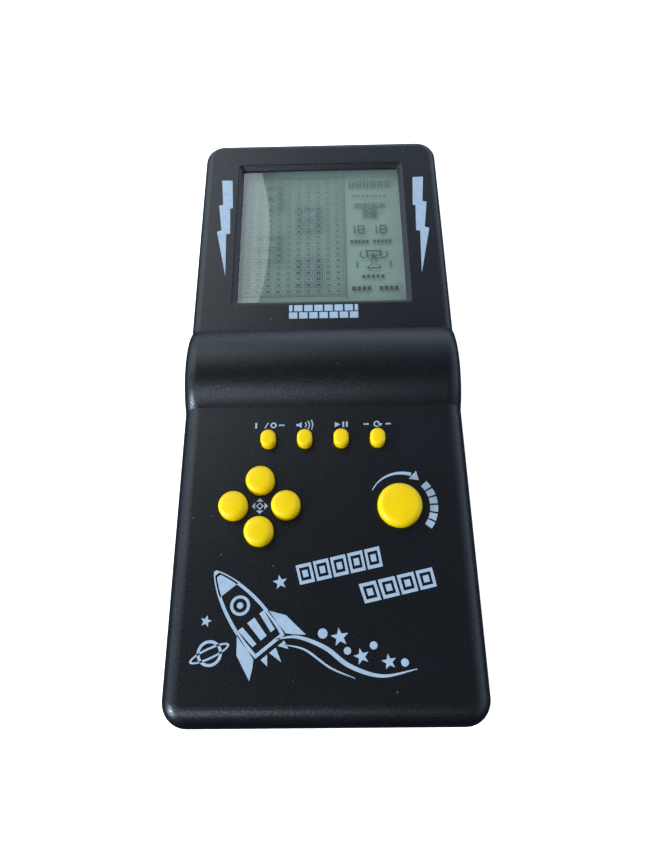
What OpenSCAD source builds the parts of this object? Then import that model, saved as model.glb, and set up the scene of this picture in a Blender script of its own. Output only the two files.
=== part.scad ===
// Handheld LCD block game: two moulded case halves, a display stack, a sprung keypad and a two-cell bay.
// Frame: +Z out of the keypad face, +Y towards the screen end, origin at the centre of the flat back.

/* [Case] */
// Width of the keypad section
body_w = 80; // [78:1:100]
// Length of the case
body_l = 185; // [154:1:230]
// How much narrower the screen section is on each side
screen_inset = 0.5; // [0:0.1:1.5]
// Thickness of the moulded walls
wall = 2.2; // [1.8:0.1:2.7]
// Plan radius of the four case corners
corner_r = 6.5; // [6:0.5:10]
// Rounding of the front edge round the keypad
key_edge_r = 5; // [3:0.5:5.5]
// Rounding of the front edge round the screen
screen_edge_r = 3; // [2.5:0.5:5]
// Rounding of the back edge
rear_edge_r = 4; // [3:0.5:5.5]
// Height of the parting line above the back
parting_z = 10; // [9:0.5:11]
// Step from the keypad face up to the screen face
screen_step = 0.5; // [0:0.1:1.5]

/* [Hump] */
// Radius of the hump across the middle
hump_r = 18; // [17:0.5:24]
// Height of the hump above the keypad face
hump_rise = 5.5; // [4:0.5:7]
// Distance from the top end to the middle of the hump
hump_from_top = 88.7; // [88:0.1:92]

/* [Screen] */
// Width of the window opening
window_w = 52.4; // [43.6:0.2:53]
// Length of the window opening
window_l = 54; // [46:0.2:55]
// Distance from the top end to the window opening
window_from_top = 11.6; // [11:0.1:13]
// Width of the bevel round the window
window_bevel = 1.2; // [0.4:0.1:1.3]
// Thickness of the case over the edge of the window
window_lip = 1.7; // [1.4:0.1:1.8]
// Thickness of the clear window
lens_t = 1.2; // [0.8:0.1:1.4]
// Thickness of each sheet of display glass
glass_t = 1.1; // [0.7:0.1:1.3]
// Thickness of a polariser or reflector film
film_t = 0.2; // [0.15:0.05:0.3]

/* [Keys] */
// Diameter of a direction key
key_d = 7.8; // [6.3:0.1:9.4]
// Diameter of the rotate key
rotate_d = 11.8; // [9.8:0.1:14.1]
// Width of a function key
small_w = 4.2; // [3.4:0.1:5]
// Length of a function key
small_l = 5.1; // [5.1:0.1:6.1]
// Distance between function keys
small_pitch = 10.1; // [9.9:0.1:11]
// Height of the large keys above the face
key_rise = 3; // [2.4:0.1:4]
// Height of the function keys above the face
small_rise = 2.6; // [2:0.1:3.4]
// Travel of every key
key_travel = 1.2; // [0.8:0.1:1.3]
// Radial gap between a key and its hole
key_gap = 0.15; // [0.1:0.05:0.3]

/* [Power] */
// Diameter of an AA cell
cell_d = 14.5; // [12.1:0.1:15.5]
// Length of an AA cell over its nub
cell_l = 50.5; // [44:0.1:52]
// Thickness of the battery door
door_t = 1.5; // [1.3:0.1:1.5]
// Diameter of the piezo buzzer plate
buzzer_d = 27; // [20:1:30]

/* [Hidden] */
$fn = 48;
eps = 0.01;

// Colours of the mouldings, films and metals
case_black = "#26282c";
key_yellow = "#f2d500";
clear = "#dfe8ea";
nickel = "#b9bcbe";
board_brown = "#8a6a3c";

// Levels of the battery bay, stacked up from the back
cell_gap = 0.2;
bay_roof_t = 1;
cell_z = door_t + cell_gap + cell_d / 2;
bay_roof_z = cell_z + cell_d / 2 + cell_gap;
bay_top_z = bay_roof_z + bay_roof_t;
cable_gap = 1.4;

// Levels of the front faces
key_face_z = bay_top_z + cable_gap + wall;
screen_face_z = key_face_z + screen_step;
hump_axis_z = key_face_z + hump_rise - hump_r;
key_under_z = key_face_z - wall;
screen_under_z = screen_face_z - wall;

// Places along the case, measured from its top end
top_y = body_l / 2;
hump_y = top_y - hump_from_top;
window_y = top_y - window_from_top - window_l / 2;
bay_y = top_y - 90.5;
small_y = top_y - 112;
rotate_y = top_y - 131.4;
dpad_y = top_y - 131;

// Steps in the rounded edges: round the corners, up a rounded edge and across the hump
corner_steps = 6;
edge_steps = 6;
hump_steps = 16;

// Bay for two cells side by side, lying across the case
bay_wall = 1.6;
cell_pitch = cell_d + 0.6;
lower_cell_y = bay_y - cell_pitch / 2;
upper_cell_y = bay_y + cell_pitch / 2;
bay_len = cell_l + 6.5;
bay_wid = cell_pitch + cell_d + 1;
bay_hi = bay_y + bay_wid / 2;

// Battery door and the ledge that it closes against
ledge = 1.6;
door_gap = 0.2;
seat_gap = 0.05;
door_len = bay_len + 2 * ledge;
door_wid = bay_wid + 2 * ledge;
door_hi = bay_y + door_wid / 2;
door_lo = bay_y - door_wid / 2;
tab_w = 8;
tab_x = 18;
latch_w = 12;

// Screen stack, from the underside of the face inwards
stack_gap = 0.05;
lens_w = window_w + 5.6;
lens_l = window_l + 5.6;
lens_z = screen_face_z - window_lip - lens_t;
polariser_z = lens_z - stack_gap - film_t;
front_glass_z = polariser_z - glass_t;
rear_glass_z = front_glass_z - glass_t;
reflector_z = rear_glass_z - film_t;
glass_w = window_w + 5.6;
glass_l = window_l + 11;
rear_glass_l = window_l + 4;
carrier_shelf = 2.4;
board_t = 1.6;
lcd_board_top = reflector_z - carrier_shelf;
lcd_board_z = lcd_board_top - board_t;
rib_t = 1;
rib_gap = 0.3;
rib_in_w = glass_w + 2 * rib_gap;
rib_in_l = glass_l + 2 * rib_gap;
zebra_w = 2;
zebra_y = (glass_l + rear_glass_l) / 4;

// Keypad stack, from the underside of the face inwards
flange_t = 0.9;
flange_lip = 0.65;
flange_gap = 0.8;
flange_z = key_under_z - 0.1 - flange_t;
sheet_t = 0.8;
pad_t = 0.1;
pill_t = 0.8;
key_board_top = key_under_z - 4.7;
key_board_z = key_board_top - board_t;
pill_gap = 0.05;
pill_z = key_board_top + pad_t + key_travel + pill_gap;
dpad_arm = (key_d + 2 * flange_lip + flange_gap) / sqrt(2);
dpad_x = -(body_w / 2 - 23);
rotate_x = body_w / 2 - 19.8;

// Every key: name, place across, place along, width and length
key_at = [
    ["up", dpad_x, dpad_y + dpad_arm, key_d, key_d],
    ["down", dpad_x, dpad_y - dpad_arm, key_d, key_d],
    ["left", dpad_x - dpad_arm, dpad_y, key_d, key_d],
    ["right", dpad_x + dpad_arm, dpad_y, key_d, key_d],
    ["rotate", rotate_x, rotate_y, rotate_d, rotate_d],
    ["power", -1.5 * small_pitch, small_y, small_w, small_l],
    ["sound", -0.5 * small_pitch, small_y, small_w, small_l],
    ["start", 0.5 * small_pitch, small_y, small_w, small_l],
    ["reset", 1.5 * small_pitch, small_y, small_w, small_l]];

// Fasteners and the bosses that take them
case_screw_r = 1.3;
case_head_r = 2.5;
case_boss_r = 3;
rear_boss_r = 3.9;
head_seat_z = 4.5;
board_screw_r = 0.9;
board_head_r = 1.8;
board_boss_r = 2.2;
case_screw_at = [
    for (s = [-1, 1])
        each [
            [s * (body_w / 2 - 6.5), -body_l / 2 + 9],
            [s * (body_w / 2 - 6.4), rotate_y + 12.4],
            [s * (body_w / 2 - screen_inset - 6.3), top_y - 6.3]]];
lcd_boss_x = body_w / 2 - screen_inset - 5.7;
lcd_screw_at = [for (sx = [-1, 1], sy = [-1, 1]) [sx * lcd_boss_x, window_y + sy * 22]];
key_board_w = body_w - 2 * 9.8;
key_board_hi = small_y + 4.4;
key_board_lo = dpad_y - dpad_arm - key_d / 2 - flange_lip - 2;
key_board_l = key_board_hi - key_board_lo;
key_screw_at = concat(
    [for (sx = [-1, 1], y = [key_board_lo + 2.9, key_board_hi - 2.9]) [sx * (key_board_w / 2 - 2.9), y]],
    [[1.5, rotate_y + 6.4]]);

// Buzzer over the sound holes
buzzer_y = window_y;
buzzer_rib_h = 1.2;
plate_t = 0.3;
sound_hole_r = 0.9;

// Contacts and wires
contact_t = 0.4;
contact_w = 11;
contact_h = 12;
tab_rise = 1.4;
lead_y = (bay_hi + bay_wall + window_y - rib_in_l / 2 - rib_t) / 2;
spring_wire = 0.7;
spring_room = bay_len - cell_l - 2 * contact_t;
wire_d = 1;
ribbon_wires = 6;
ribbon_pitch = 0.9;
ribbon_x = body_w / 2 - 18;

// Smooth step from 0 to 1
function ramp(t) = t <= 0 ? 0 : t >= 1 ? 1 : t * t * (3 - 2 * t);

// Share of the way across the hump, from the keypad to the screen
function across_hump(y) = ramp((y - hump_y + hump_r * 0.7) / (hump_r * 1.4));

// Half the width of the case, and the rounding of its front edge, at a place along it
function half_w(y) = body_w / 2 - screen_inset * across_hump(y);
function front_edge_r(y) = key_edge_r + (screen_edge_r - key_edge_r) * across_hump(y);

// Height of the front face, set in by t; the hump is a circle about hump_axis_z
function face_z(y, t) = let (
    dy = y - hump_y,
    flat = (dy < 0 ? key_face_z : screen_face_z) - t,
    r = hump_r - t)
    abs(dy) >= r ? flat : max(flat, hump_axis_z + sqrt(r * r - dy * dy));

// Places along the side where the hump needs points, from its keypad crease to its screen crease
function hump_stations(t) = let (
    r = hump_r - t,
    low = acos((key_face_z - t - hump_axis_z) / r),
    high = acos((screen_face_z - t - hump_axis_z) / r))
    [for (i = [0:hump_steps]) hump_y + r * sin(-low + (low + high) * i / hump_steps)];

// Rounding of an edge after the surface is set in by t
function edge_r(y, t, front) = max((front ? front_edge_r(y) : rear_edge_r) - t, 0.5);

// One loop round the case: t is the inset, a the angle up the rounded edge
function plan_point(x, y, nx, ny, t, a, front) = let (
    r = edge_r(y, t, front),
    d = r * (1 - cos(a)))
    [x - nx * d, y - ny * d, (front ? face_z(y, t) : -t) - r * (1 - sin(a))];

function right_side(t, a, front) = let (
    r = corner_r - t,
    low_x = half_w(-top_y) - corner_r,
    high_x = half_w(top_y) - corner_r,
    end_y = top_y - corner_r)
    concat(
        [for (i = [0:corner_steps]) let (b = -90 + 90 * i / corner_steps)
            plan_point(low_x + r * cos(b), -end_y + r * sin(b), cos(b), sin(b), t, a, front)],
        [for (y = hump_stations(t)) plan_point(half_w(y) - t, y, 1, 0, t, a, front)],
        [for (i = [0:corner_steps]) let (b = 90 * i / corner_steps)
            plan_point(high_x + r * cos(b), end_y + r * sin(b), cos(b), sin(b), t, a, front)]);

function loop(side) = concat(side, [for (i = [len(side) - 1:-1:0]) [-side[i][0], side[i][1], side[i][2]]]);

// Solid half of the case, set in by t, from z = low up to the front face, or up to z = 0 for the rear
module case_half(t, low, front) {
    foot = [for (p = loop(right_side(t, 0, front))) [p[0], p[1], low]];
    rings = concat([foot], [for (k = [0:edge_steps]) loop(right_side(t, 90 * k / edge_steps, front))]);
    n = len(foot);
    m = n / 2;
    last = (len(rings) - 1) * n;
    sides = [
        for (k = [0:len(rings) - 2], i = [0:n - 1])
            let (j = (i + 1) % n, b = k * n, u = b + n)
                each [[b + i, u + i, u + j], [b + i, u + j, b + j]]];
    floor_cap = [for (i = [0:m - 2]) [i, i + 1, n - 2 - i, n - 1 - i]];
    face_cap = [for (i = [0:m - 2]) [last + n - 1 - i, last + n - 2 - i, last + i + 1, last + i]];
    polyhedron([for (r = rings) each r], concat(sides, floor_cap, face_cap));
}

// Flat ring that follows the plan of the case, between two insets
module case_ring(outer_t, inner_t, h) {
    linear_extrude(h) difference() {
        polygon([for (p = loop(right_side(outer_t, 0, true))) [p[0], p[1]]]);
        polygon([for (p = loop(right_side(inner_t, 0, true))) [p[0], p[1]]]);
    }
}

module box(w, l, h) {
    translate([-w / 2, -l / 2, 0]) cube([w, l, h]);
}

module at(places) {
    for (p = places) translate([p[0], p[1], 0]) children();
}

// Plan of a key with round ends, grown by g
module key_plan(w, l, g) {
    r = w / 2 + g;
    if (l > w) {
        for (s = [-1, 1]) translate([0, s * (l - w) / 2]) circle(r);
        square([2 * r, l - w], center = true);
    } else circle(r);
}

module window_cut(grow) {
    box(window_w + 2 * grow, window_l + 2 * grow, eps);
}

module front_shell() {
    color(case_black) difference() {
        union() {
            difference() {
                case_half(0, parting_z, true);
                case_half(wall, parting_z - 1, true);
            }
            at(case_screw_at) translate([0, 0, parting_z])
                cylinder(h = key_under_z - parting_z + wall / 2, r = case_boss_r);
            at(lcd_screw_at) translate([0, 0, lcd_board_top])
                cylinder(h = screen_under_z - lcd_board_top + wall / 2, r = board_boss_r);
            at(key_screw_at) translate([0, 0, key_board_top])
                cylinder(h = key_under_z - key_board_top + wall / 2, r = board_boss_r);
            // Frame that the window and the glass drop into
            translate([0, window_y, front_glass_z])
                box(rib_in_w + 2 * rib_t, rib_in_l + 2 * rib_t, screen_under_z + wall / 2 - front_glass_z);
        }
        translate([0, window_y, front_glass_z - 1])
            box(rib_in_w, rib_in_l, screen_face_z - window_lip - front_glass_z + 1);
        // Window opening and its bevel
        translate([0, window_y, front_glass_z]) box(window_w, window_l, 10);
        translate([0, window_y, 0]) hull() {
            translate([0, 0, screen_face_z - window_bevel]) window_cut(0);
            translate([0, 0, screen_face_z + 0.5]) window_cut(window_bevel + 0.5);
        }
        for (k = key_at) translate([k[1], k[2], key_under_z - 1])
            linear_extrude(wall + 2) key_plan(k[3], k[4], key_gap);
        at(case_screw_at) translate([0, 0, parting_z - 1]) cylinder(h = 8, r = case_screw_r);
        at(lcd_screw_at) translate([0, 0, lcd_board_top - 1]) cylinder(h = 5, r = board_screw_r);
        at(key_screw_at) translate([0, 0, key_board_top - 1]) cylinder(h = 5, r = board_screw_r);
    }
}

module sound_holes() {
    cylinder(h = wall + 2, r = sound_hole_r);
    for (ring = [1, 2], i = [0:6 * ring - 1])
        rotate(i * 60 / ring) translate([ring * 3.6, 0, 0]) cylinder(h = wall + 2, r = sound_hole_r);
}

module rear_shell() {
    color(case_black) difference() {
        union() {
            difference() {
                mirror([0, 0, 1]) case_half(0, -parting_z, false);
                mirror([0, 0, 1]) case_half(wall, -parting_z - 1, false);
            }
            // Lip that locates the front half
            translate([0, 0, parting_z - 2]) case_ring(wall - 0.2, wall + 0.9, 2);
            translate([0, 0, parting_z - 1]) case_ring(wall + 0.1, wall + 0.9, 2.5);
            at(case_screw_at) translate([0, 0, wall / 2])
                cylinder(h = parting_z - wall / 2, r = rear_boss_r);
            translate([0, bay_y, wall / 2])
                box(bay_len + 2 * bay_wall, bay_wid + 2 * bay_wall, bay_top_z - wall / 2);
            translate([0, buzzer_y, wall / 2]) cylinder(h = wall / 2 + buzzer_rib_h, r = buzzer_d / 2);
        }
        // Battery bay, with a ridge left between the cells
        difference() {
            translate([0, bay_y, -1]) box(bay_len, bay_wid, bay_roof_z + 1);
            translate([0, bay_y, bay_roof_z - 3]) box(bay_len - 8, 1.2, 4);
        }
        // Seat of the battery door, its tab slots and the finger notch
        translate([0, bay_y, -1])
            box(door_len + 2 * door_gap, door_wid + 2 * door_gap, door_t + 1 + seat_gap);
        for (s = [-1, 1]) translate([s * tab_x, 0, 0]) {
            translate([0, door_hi - ledge - eps, -1]) box(tab_w + 1, 2 * ledge, wall + 4);
            translate([0, door_hi + 1, wall]) box(tab_w + 1, 4, 6);
        }
        translate([0, door_lo, -1]) cylinder(h = 1 + door_t, r = latch_w / 2);
        translate([0, door_lo + ledge / 2, -1]) box(latch_w + 1, ledge + 0.4, wall + 5);
        // Slots for the solder tabs of the two left contacts
        for (s = [-1, 1])
            translate([-(bay_len - contact_t) / 2, bay_y + s * cell_pitch / 2, bay_roof_z - 1])
                box(contact_t + 0.2, 3.4, 4);
        at(case_screw_at) translate([0, 0, -1]) cylinder(h = parting_z + 4, r = case_screw_r + 0.25);
        at(case_screw_at) translate([0, 0, -1]) cylinder(h = head_seat_z + 1, r = case_head_r + 0.3);
        translate([0, buzzer_y, wall]) cylinder(h = buzzer_rib_h + 1, r = buzzer_d / 2 - 1.2);
        translate([0, buzzer_y, -1]) sound_holes();
    }
}

module battery_door() {
    neck_l = ledge - 0.5;
    color(case_black) difference() {
        union() {
            translate([0, bay_y, 0]) box(door_len, door_wid, door_t);
            // Hooked tabs that the door swings on
            for (s = [-1, 1]) {
                translate([s * tab_x, door_hi - 0.4 - neck_l / 2, door_t / 2])
                    box(tab_w, neck_l, wall + 1.3 - door_t / 2);
                translate([s * tab_x, door_hi + 0.6, wall + 0.1]) box(tab_w, 3, 1.2);
            }
            // Spring arm of the latch
            translate([0, door_lo + ledge / 2 + 0.2, door_t / 2]) box(latch_w, 1, wall + 3);
        }
        // Grip grooves and an opening arrow
        for (i = [0:3]) translate([0, door_lo + 3 + 2 * i, -1]) box(14, 0.8, 1.3);
        translate([0, door_lo + 15, -1]) rotate(-90) cylinder(h = 1.3, r = 4, $fn = 3);
    }
}

module window_lens() {
    color(clear, 0.35) translate([0, window_y, lens_z]) box(lens_w, lens_l, lens_t);
}

module lcd_polariser() {
    color("#8a9a8c", 0.6) translate([0, window_y, polariser_z]) box(glass_w - 1, rear_glass_l, film_t);
}

module lcd_front_glass() {
    color(clear, 0.35) translate([0, window_y, front_glass_z]) box(glass_w, glass_l, glass_t);
}

module lcd_rear_glass() {
    color(clear, 0.35) translate([0, window_y, rear_glass_z]) box(glass_w, rear_glass_l, glass_t);
}

module lcd_reflector() {
    color("#8fa592") translate([0, window_y, reflector_z]) box(glass_w - 1, rear_glass_l - 1, film_t);
}

// Frame between the glass and its board, with a shelf under the reflector and a slot for each zebra strip
module lcd_carrier() {
    outer_w = glass_w + 1.6;
    color("#d8d8d4") translate([0, window_y, 0]) difference() {
        translate([0, 0, lcd_board_top]) box(outer_w, glass_l + 1, front_glass_z - 0.1 - lcd_board_top);
        translate([0, 0, reflector_z]) box(glass_w + 0.4, rear_glass_l + 0.4, 10);
        translate([0, 0, lcd_board_top - 1]) box(glass_w - 6, rear_glass_l - 8, 10);
        for (s = [-1, 1]) translate([0, s * zebra_y, lcd_board_top - 1])
            box(glass_w - 1.6, zebra_w + 0.2, 10);
    }
}

module zebra_strip(s) {
    h = front_glass_z - lcd_board_top;
    color("#3a3c40") translate([0, window_y + s * zebra_y, lcd_board_top]) box(glass_w - 2, zebra_w, h);
}

module lcd_board() {
    low = bay_hi + bay_wall + 0.1;
    high = top_y - wall - 2;
    color(board_brown) translate([0, 0, lcd_board_z]) difference() {
        union() {
            translate([0, (low + high) / 2, 0]) box(glass_w + 2, high - low, board_t);
            translate([0, window_y, 0]) box(2 * lcd_boss_x + 5, 50, board_t);
        }
        at(case_screw_at) translate([0, 0, -1]) cylinder(h = 4, r = rear_boss_r + 0.3);
        at(lcd_screw_at) translate([0, 0, -1]) cylinder(h = 4, r = board_screw_r + 0.15);
    }
}

module key_board() {
    color(board_brown) translate([0, 0, key_board_z]) difference() {
        translate([0, key_board_lo + key_board_l / 2, 0]) box(key_board_w, key_board_l, board_t);
        at(key_screw_at) translate([0, 0, -1]) cylinder(h = 4, r = board_screw_r + 0.15);
    }
}

// Printed carbon contact under each key, split across the middle
module key_contacts() {
    color("#2c2c2c") for (k = key_at) translate([k[1], k[2], key_board_top]) difference() {
        cylinder(h = pad_t, r = dome_foot(k) - 1.6);
        translate([0, 0, -1]) box(0.5, 20, 3);
    }
}

// Radii of the rubber dome under a key: at its foot and at its top
function dome_foot(k) = k[3] >= rotate_d ? 6 : k[3] >= key_d ? 4.6 : 4.2;
function dome_head(k) = dome_foot(k) - 1.6;

module keypad_membrane() {
    color("#c9cbd0") difference() {
        union() {
            translate([0, key_board_lo + key_board_l / 2, key_board_top])
                box(key_board_w - 1, key_board_l - 1, sheet_t);
            for (k = key_at) translate([k[1], k[2], key_board_top])
                cylinder(h = flange_z - 0.05 - key_board_top, r1 = dome_foot(k), r2 = dome_head(k));
        }
        for (k = key_at) translate([k[1], k[2], key_board_top - eps])
            cylinder(
                h = pill_z + pill_t - key_board_top + eps, r1 = dome_foot(k) - 0.6, r2 = dome_head(k) - 0.4);
        // Clear of the corner bosses, the middle boss and the flat cable
        for (p = key_screw_at) translate([p[0], p[1], key_board_top - 1])
            box(2 * board_boss_r + 1.2, 2 * board_boss_r + 1.2, 4);
        translate([ribbon_x, key_board_hi, key_board_top - 1]) box(ribbon_wires * ribbon_pitch + 1.2, 4, 4);
    }
}

// Carbon pill inside the dome, which closes the contact
module pill(i) {
    k = key_at[i];
    color("#202020") translate([k[1], k[2], pill_z]) cylinder(h = pill_t, r = dome_head(k) - 0.7);
}

// Half profile of a key: flange, shank and a crowned top with a rounded rim
module key_profile(r, rise) {
    top = key_face_z + rise - flange_z;
    rim = min(1.3, r / 2);
    crown = 0.25;
    dome = (r * r + crown * crown) / (2 * crown);
    square([r + flange_lip, flange_t]);
    intersection() {
        union() {
            square([r - rim, top]);
            square([r, top - rim]);
            translate([r - rim, top - rim]) circle(rim);
        }
        translate([0, top - dome]) circle(dome, $fn = 200);
        square([r, top]);
    }
}

module key_body(i, rise) {
    k = key_at[i];
    r = k[3] / 2;
    run = (k[4] - k[3]) / 2;
    color(key_yellow) translate([k[1], k[2], flange_z]) {
        if (run > 0) {
            translate([0, run, 0]) rotate_extrude(angle = 180) key_profile(r, rise);
            translate([0, -run, 0]) rotate(180) rotate_extrude(angle = 180) key_profile(r, rise);
            translate([0, run, 0]) rotate([90, 0, 0]) linear_extrude(2 * run) {
                key_profile(r, rise);
                mirror([1, 0]) key_profile(r, rise);
            }
        } else rotate_extrude() key_profile(r, rise);
    }
}

module chip_blob() {
    color("#151515") translate([0, window_y + 6, 0]) intersection() {
        translate([0, 0, lcd_board_z + 11]) sphere(13, $fn = 96);
        translate([0, 0, lcd_board_z - 4]) box(30, 30, 4);
    }
}

module axial_part(len, r) {
    translate([-len / 2, 0, 0]) rotate([0, 90, 0]) cylinder(h = len, r = r);
    for (s = [-1, 1]) {
        translate([s * (len / 2 + 1), 0, 0]) rotate([0, 90, 0]) cylinder(h = 2.4, r = 0.3, center = true);
        translate([s * (len / 2 + 2), 0, -0.3]) cylinder(h = r + 0.5, r = 0.3);
    }
}

module board_resistors() {
    color("#c8a878") for (i = [0:3])
        translate([-18, window_y - 16 + 5 * i, lcd_board_z - 1.3]) axial_part(6, 1.1);
}

module board_capacitors() {
    color("#33415c") {
        translate([18, window_y - 14, lcd_board_z - 5]) cylinder(h = 5, r = 2.5);
        for (i = [0, 1]) translate([17, window_y - 4 + 7 * i, lcd_board_z - 3]) box(4, 1.6, 3);
    }
}

// Outline of a flat cable of joined wires, lying in X
module ribbon_section() {
    for (i = [0:ribbon_wires - 1]) translate([(i - (ribbon_wires - 1) / 2) * ribbon_pitch, 0])
        circle(0.5, $fn = 24);
}

// Flat cable from the key board up and over the battery bay and down to the display board
module ribbon_cable() {
    bend = 0.7;
    run_z = bay_top_z + 0.7;
    start_y = key_board_hi - 1.2;
    color("#9aa0a8") translate([ribbon_x, 0, 0]) {
        translate([0, start_y, key_board_top])
            linear_extrude(run_z - bend - key_board_top) ribbon_section();
        translate([0, start_y + bend, run_z - bend]) rotate([90, 0, -90]) ribbon_bend(bend);
        translate([0, start_y + bend, run_z]) rotate([-90, 0, 0])
            linear_extrude(lead_y - start_y - 2 * bend) ribbon_section();
        translate([0, lead_y - bend, run_z - bend]) rotate([90, 0, 90]) ribbon_bend(bend);
        translate([0, lead_y, lcd_board_top])
            linear_extrude(run_z - bend - lcd_board_top) ribbon_section();
    }
}

module ribbon_bend(r) {
    rotate_extrude(angle = 90) translate([r, 0]) rotate(90) ribbon_section();
}

module buzzer_plate() {
    color("#c9a24a") translate([0, buzzer_y, wall + buzzer_rib_h])
        cylinder(h = plate_t, r = buzzer_d / 2 - 0.2);
}

module buzzer_ceramic() {
    color("#d9d6cc") translate([0, buzzer_y, wall + buzzer_rib_h + plate_t])
        cylinder(h = 0.25, r = buzzer_d / 2 - 3.5);
}

// Points of a smooth line through a few corners, each cut twice
function cut_corners(p) = concat(
    [p[0]],
    [for (i = [0:len(p) - 2]) each [p[i] * 0.75 + p[i + 1] * 0.25, p[i] * 0.25 + p[i + 1] * 0.75]],
    [p[len(p) - 1]]);

function unit(v) = v / norm(v);

// Round wire along a line of points
module wire(corners, d) {
    p = cut_corners(cut_corners(corners));
    sides = 8;
    n = len(p);
    rings = [
        for (i = [0:n - 1]) let (
            t = unit(p[min(i + 1, n - 1)] - p[max(i - 1, 0)]),
            u = unit(cross(t, [0.9, 0.3, 0.31])),
            v = cross(t, u))
            each [for (s = [0:sides - 1])
                let (a = s * 360 / sides)
                p[i] + d / 2 * (u * cos(a) + v * sin(a))]];
    walls = [
        for (i = [0:n - 2], s = [0:sides - 1]) let (a = i * sides + s, b = i * sides + (s + 1) % sides)
            each [[a, b, b + sides], [a, b + sides, a + sides]]];
    ends = [[for (s = [sides - 1:-1:0]) s], [for (s = [0:sides - 1]) (n - 1) * sides + s]];
    polyhedron(rings, concat(walls, ends));
}

module buzzer_leads() {
    low = wall + buzzer_rib_h + plate_t + 0.6;
    mid = low + 1.7;
    color("#2b2b2b") translate([0, buzzer_y, 0]) {
        wire([[4, 2, low], [8, 2, mid], [14, 8, mid], [22, 16, lcd_board_z - 3],
            [23, 18, lcd_board_z - 1.5], [23, 18, lcd_board_z]], wire_d);
        wire([[12.4, -2, low], [15, -2, mid], [20, 4, mid], [25, 10, lcd_board_z - 3],
            [26, 12, lcd_board_z - 1.5], [26, 12, lcd_board_z]], wire_d);
    }
}

// Battery lead from a contact's solder tab over the bay to the display board
module battery_lead(s, end_x, colour) {
    x = -bay_len / 2 + contact_t + wire_d / 2 + 0.1;
    y = bay_y + s * cell_pitch / 2;
    z = bay_top_z + wire_d / 2 + 0.4;
    color(colour) wire([[x, y, z], [x + 3, y + 1, z], [end_x, y + 4, z], [end_x, lead_y - 0.3, z],
        [end_x, lead_y, z - 1], [end_x, lead_y, lcd_board_top]], wire_d);
}

// Sheet contact against the end wall of the bay at s, with or without a solder tab over its roof
module contact_plate(s, y, w, tab) {
    x = s * (bay_len - contact_t) / 2;
    top = bay_top_z + tab_rise;
    color(nickel) {
        translate([x, y, cell_z - contact_h / 2]) box(contact_t, w, contact_h);
        if (tab) translate([x, y, cell_z]) box(contact_t, 3, top - cell_z);
    }
}

// Tapered coil spring standing on a contact plate, wound by a rule
module contact_spring(s, y) {
    turns = 3;
    steps = 14;
    count = turns * steps;
    reach = spring_room - spring_wire;
    coil = [
        for (i = [0:count]) let (a = 360 * i / steps, f = i / count, r = 4.2 - 1.8 * f)
            [
                s * (bay_len / 2 - contact_t - spring_wire / 2 - reach * f),
                y + r * cos(a),
                cell_z + r * sin(a)]];
    sides = 8;
    rings = [
        for (i = [0:count]) let (
            t = unit(coil[min(i + 1, count)] - coil[max(i - 1, 0)]),
            u = unit(cross(t, [1, 0, 0])),
            v = cross(t, u))
            each [for (k = [0:sides - 1]) let (b = k * 360 / sides)
                coil[i] + spring_wire / 2 * (u * cos(b) + v * sin(b))]];
    walls = [
        for (i = [0:count - 1], k = [0:sides - 1]) let (a = i * sides + k, b = i * sides + (k + 1) % sides)
            each [[a, b, b + sides], [a, b + sides, a + sides]]];
    ends = [[for (k = [sides - 1:-1:0]) k], [for (k = [0:sides - 1]) count * sides + k]];
    color(nickel) polyhedron(rings, concat(walls, ends));
}

// Cell lying across the case, its nub towards s
module cell(s, y) {
    nub = 1;
    can = cell_l - nub;
    shift = s * ((bay_len - cell_l) / 2 - contact_t);
    color("#4a6f9c") translate([shift, y, cell_z]) rotate([0, s * 90, 0]) {
        translate([0, 0, -cell_l / 2]) cylinder(h = can, r = cell_d / 2);
        translate([0, 0, -cell_l / 2 + can]) cylinder(h = nub, r = 2.75);
    }
}

// Pan-head screw pointing up, its head's seat at z = 0
module screw(r, head_r, head_h, len) {
    difference() {
        union() {
            translate([0, 0, -eps]) cylinder(h = len, r = r);
            translate([0, 0, -head_h]) cylinder(h = head_h, r1 = head_r - 0.4, r2 = head_r);
        }
        for (a = [0, 90]) rotate(a) translate([0, 0, -head_h - 1]) box(head_r * 1.2, 0.6, 1.8);
    }
}

module case_screws() {
    color("#77797c") at(case_screw_at) translate([0, 0, head_seat_z])
        screw(case_screw_r, case_head_r, 1.8, 12);
}

module lcd_board_screws() {
    color(nickel) at(lcd_screw_at) translate([0, 0, lcd_board_z])
        screw(board_screw_r, board_head_r, 1.3, 5);
}

module key_board_screws() {
    color(nickel) at(key_screw_at) translate([0, 0, key_board_z])
        screw(board_screw_r, board_head_r, 1.3, 5);
}

front_shell();
rear_shell();
battery_door();
window_lens();
lcd_polariser();
lcd_front_glass();
lcd_rear_glass();
lcd_reflector();
lcd_carrier();
zebra_strip(-1);  // zebra_strip_lower
zebra_strip(1);  // zebra_strip_upper
lcd_board();
key_board();
key_contacts();
chip_blob();
board_resistors();
board_capacitors();
ribbon_cable();
keypad_membrane();
key_body(0, key_rise);  // key_up
key_body(1, key_rise);  // key_down
key_body(2, key_rise);  // key_left
key_body(3, key_rise);  // key_right
key_body(4, key_rise);  // key_rotate
key_body(5, small_rise);  // key_power
key_body(6, small_rise);  // key_sound
key_body(7, small_rise);  // key_start
key_body(8, small_rise);  // key_reset
pill(0);  // pill_up
pill(1);  // pill_down
pill(2);  // pill_left
pill(3);  // pill_right
pill(4);  // pill_rotate
pill(5);  // pill_power
pill(6);  // pill_sound
pill(7);  // pill_start
pill(8);  // pill_reset
buzzer_plate();
buzzer_ceramic();
buzzer_leads();
battery_lead(-1, -20, "#b3261e");  // battery_lead_red
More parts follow.
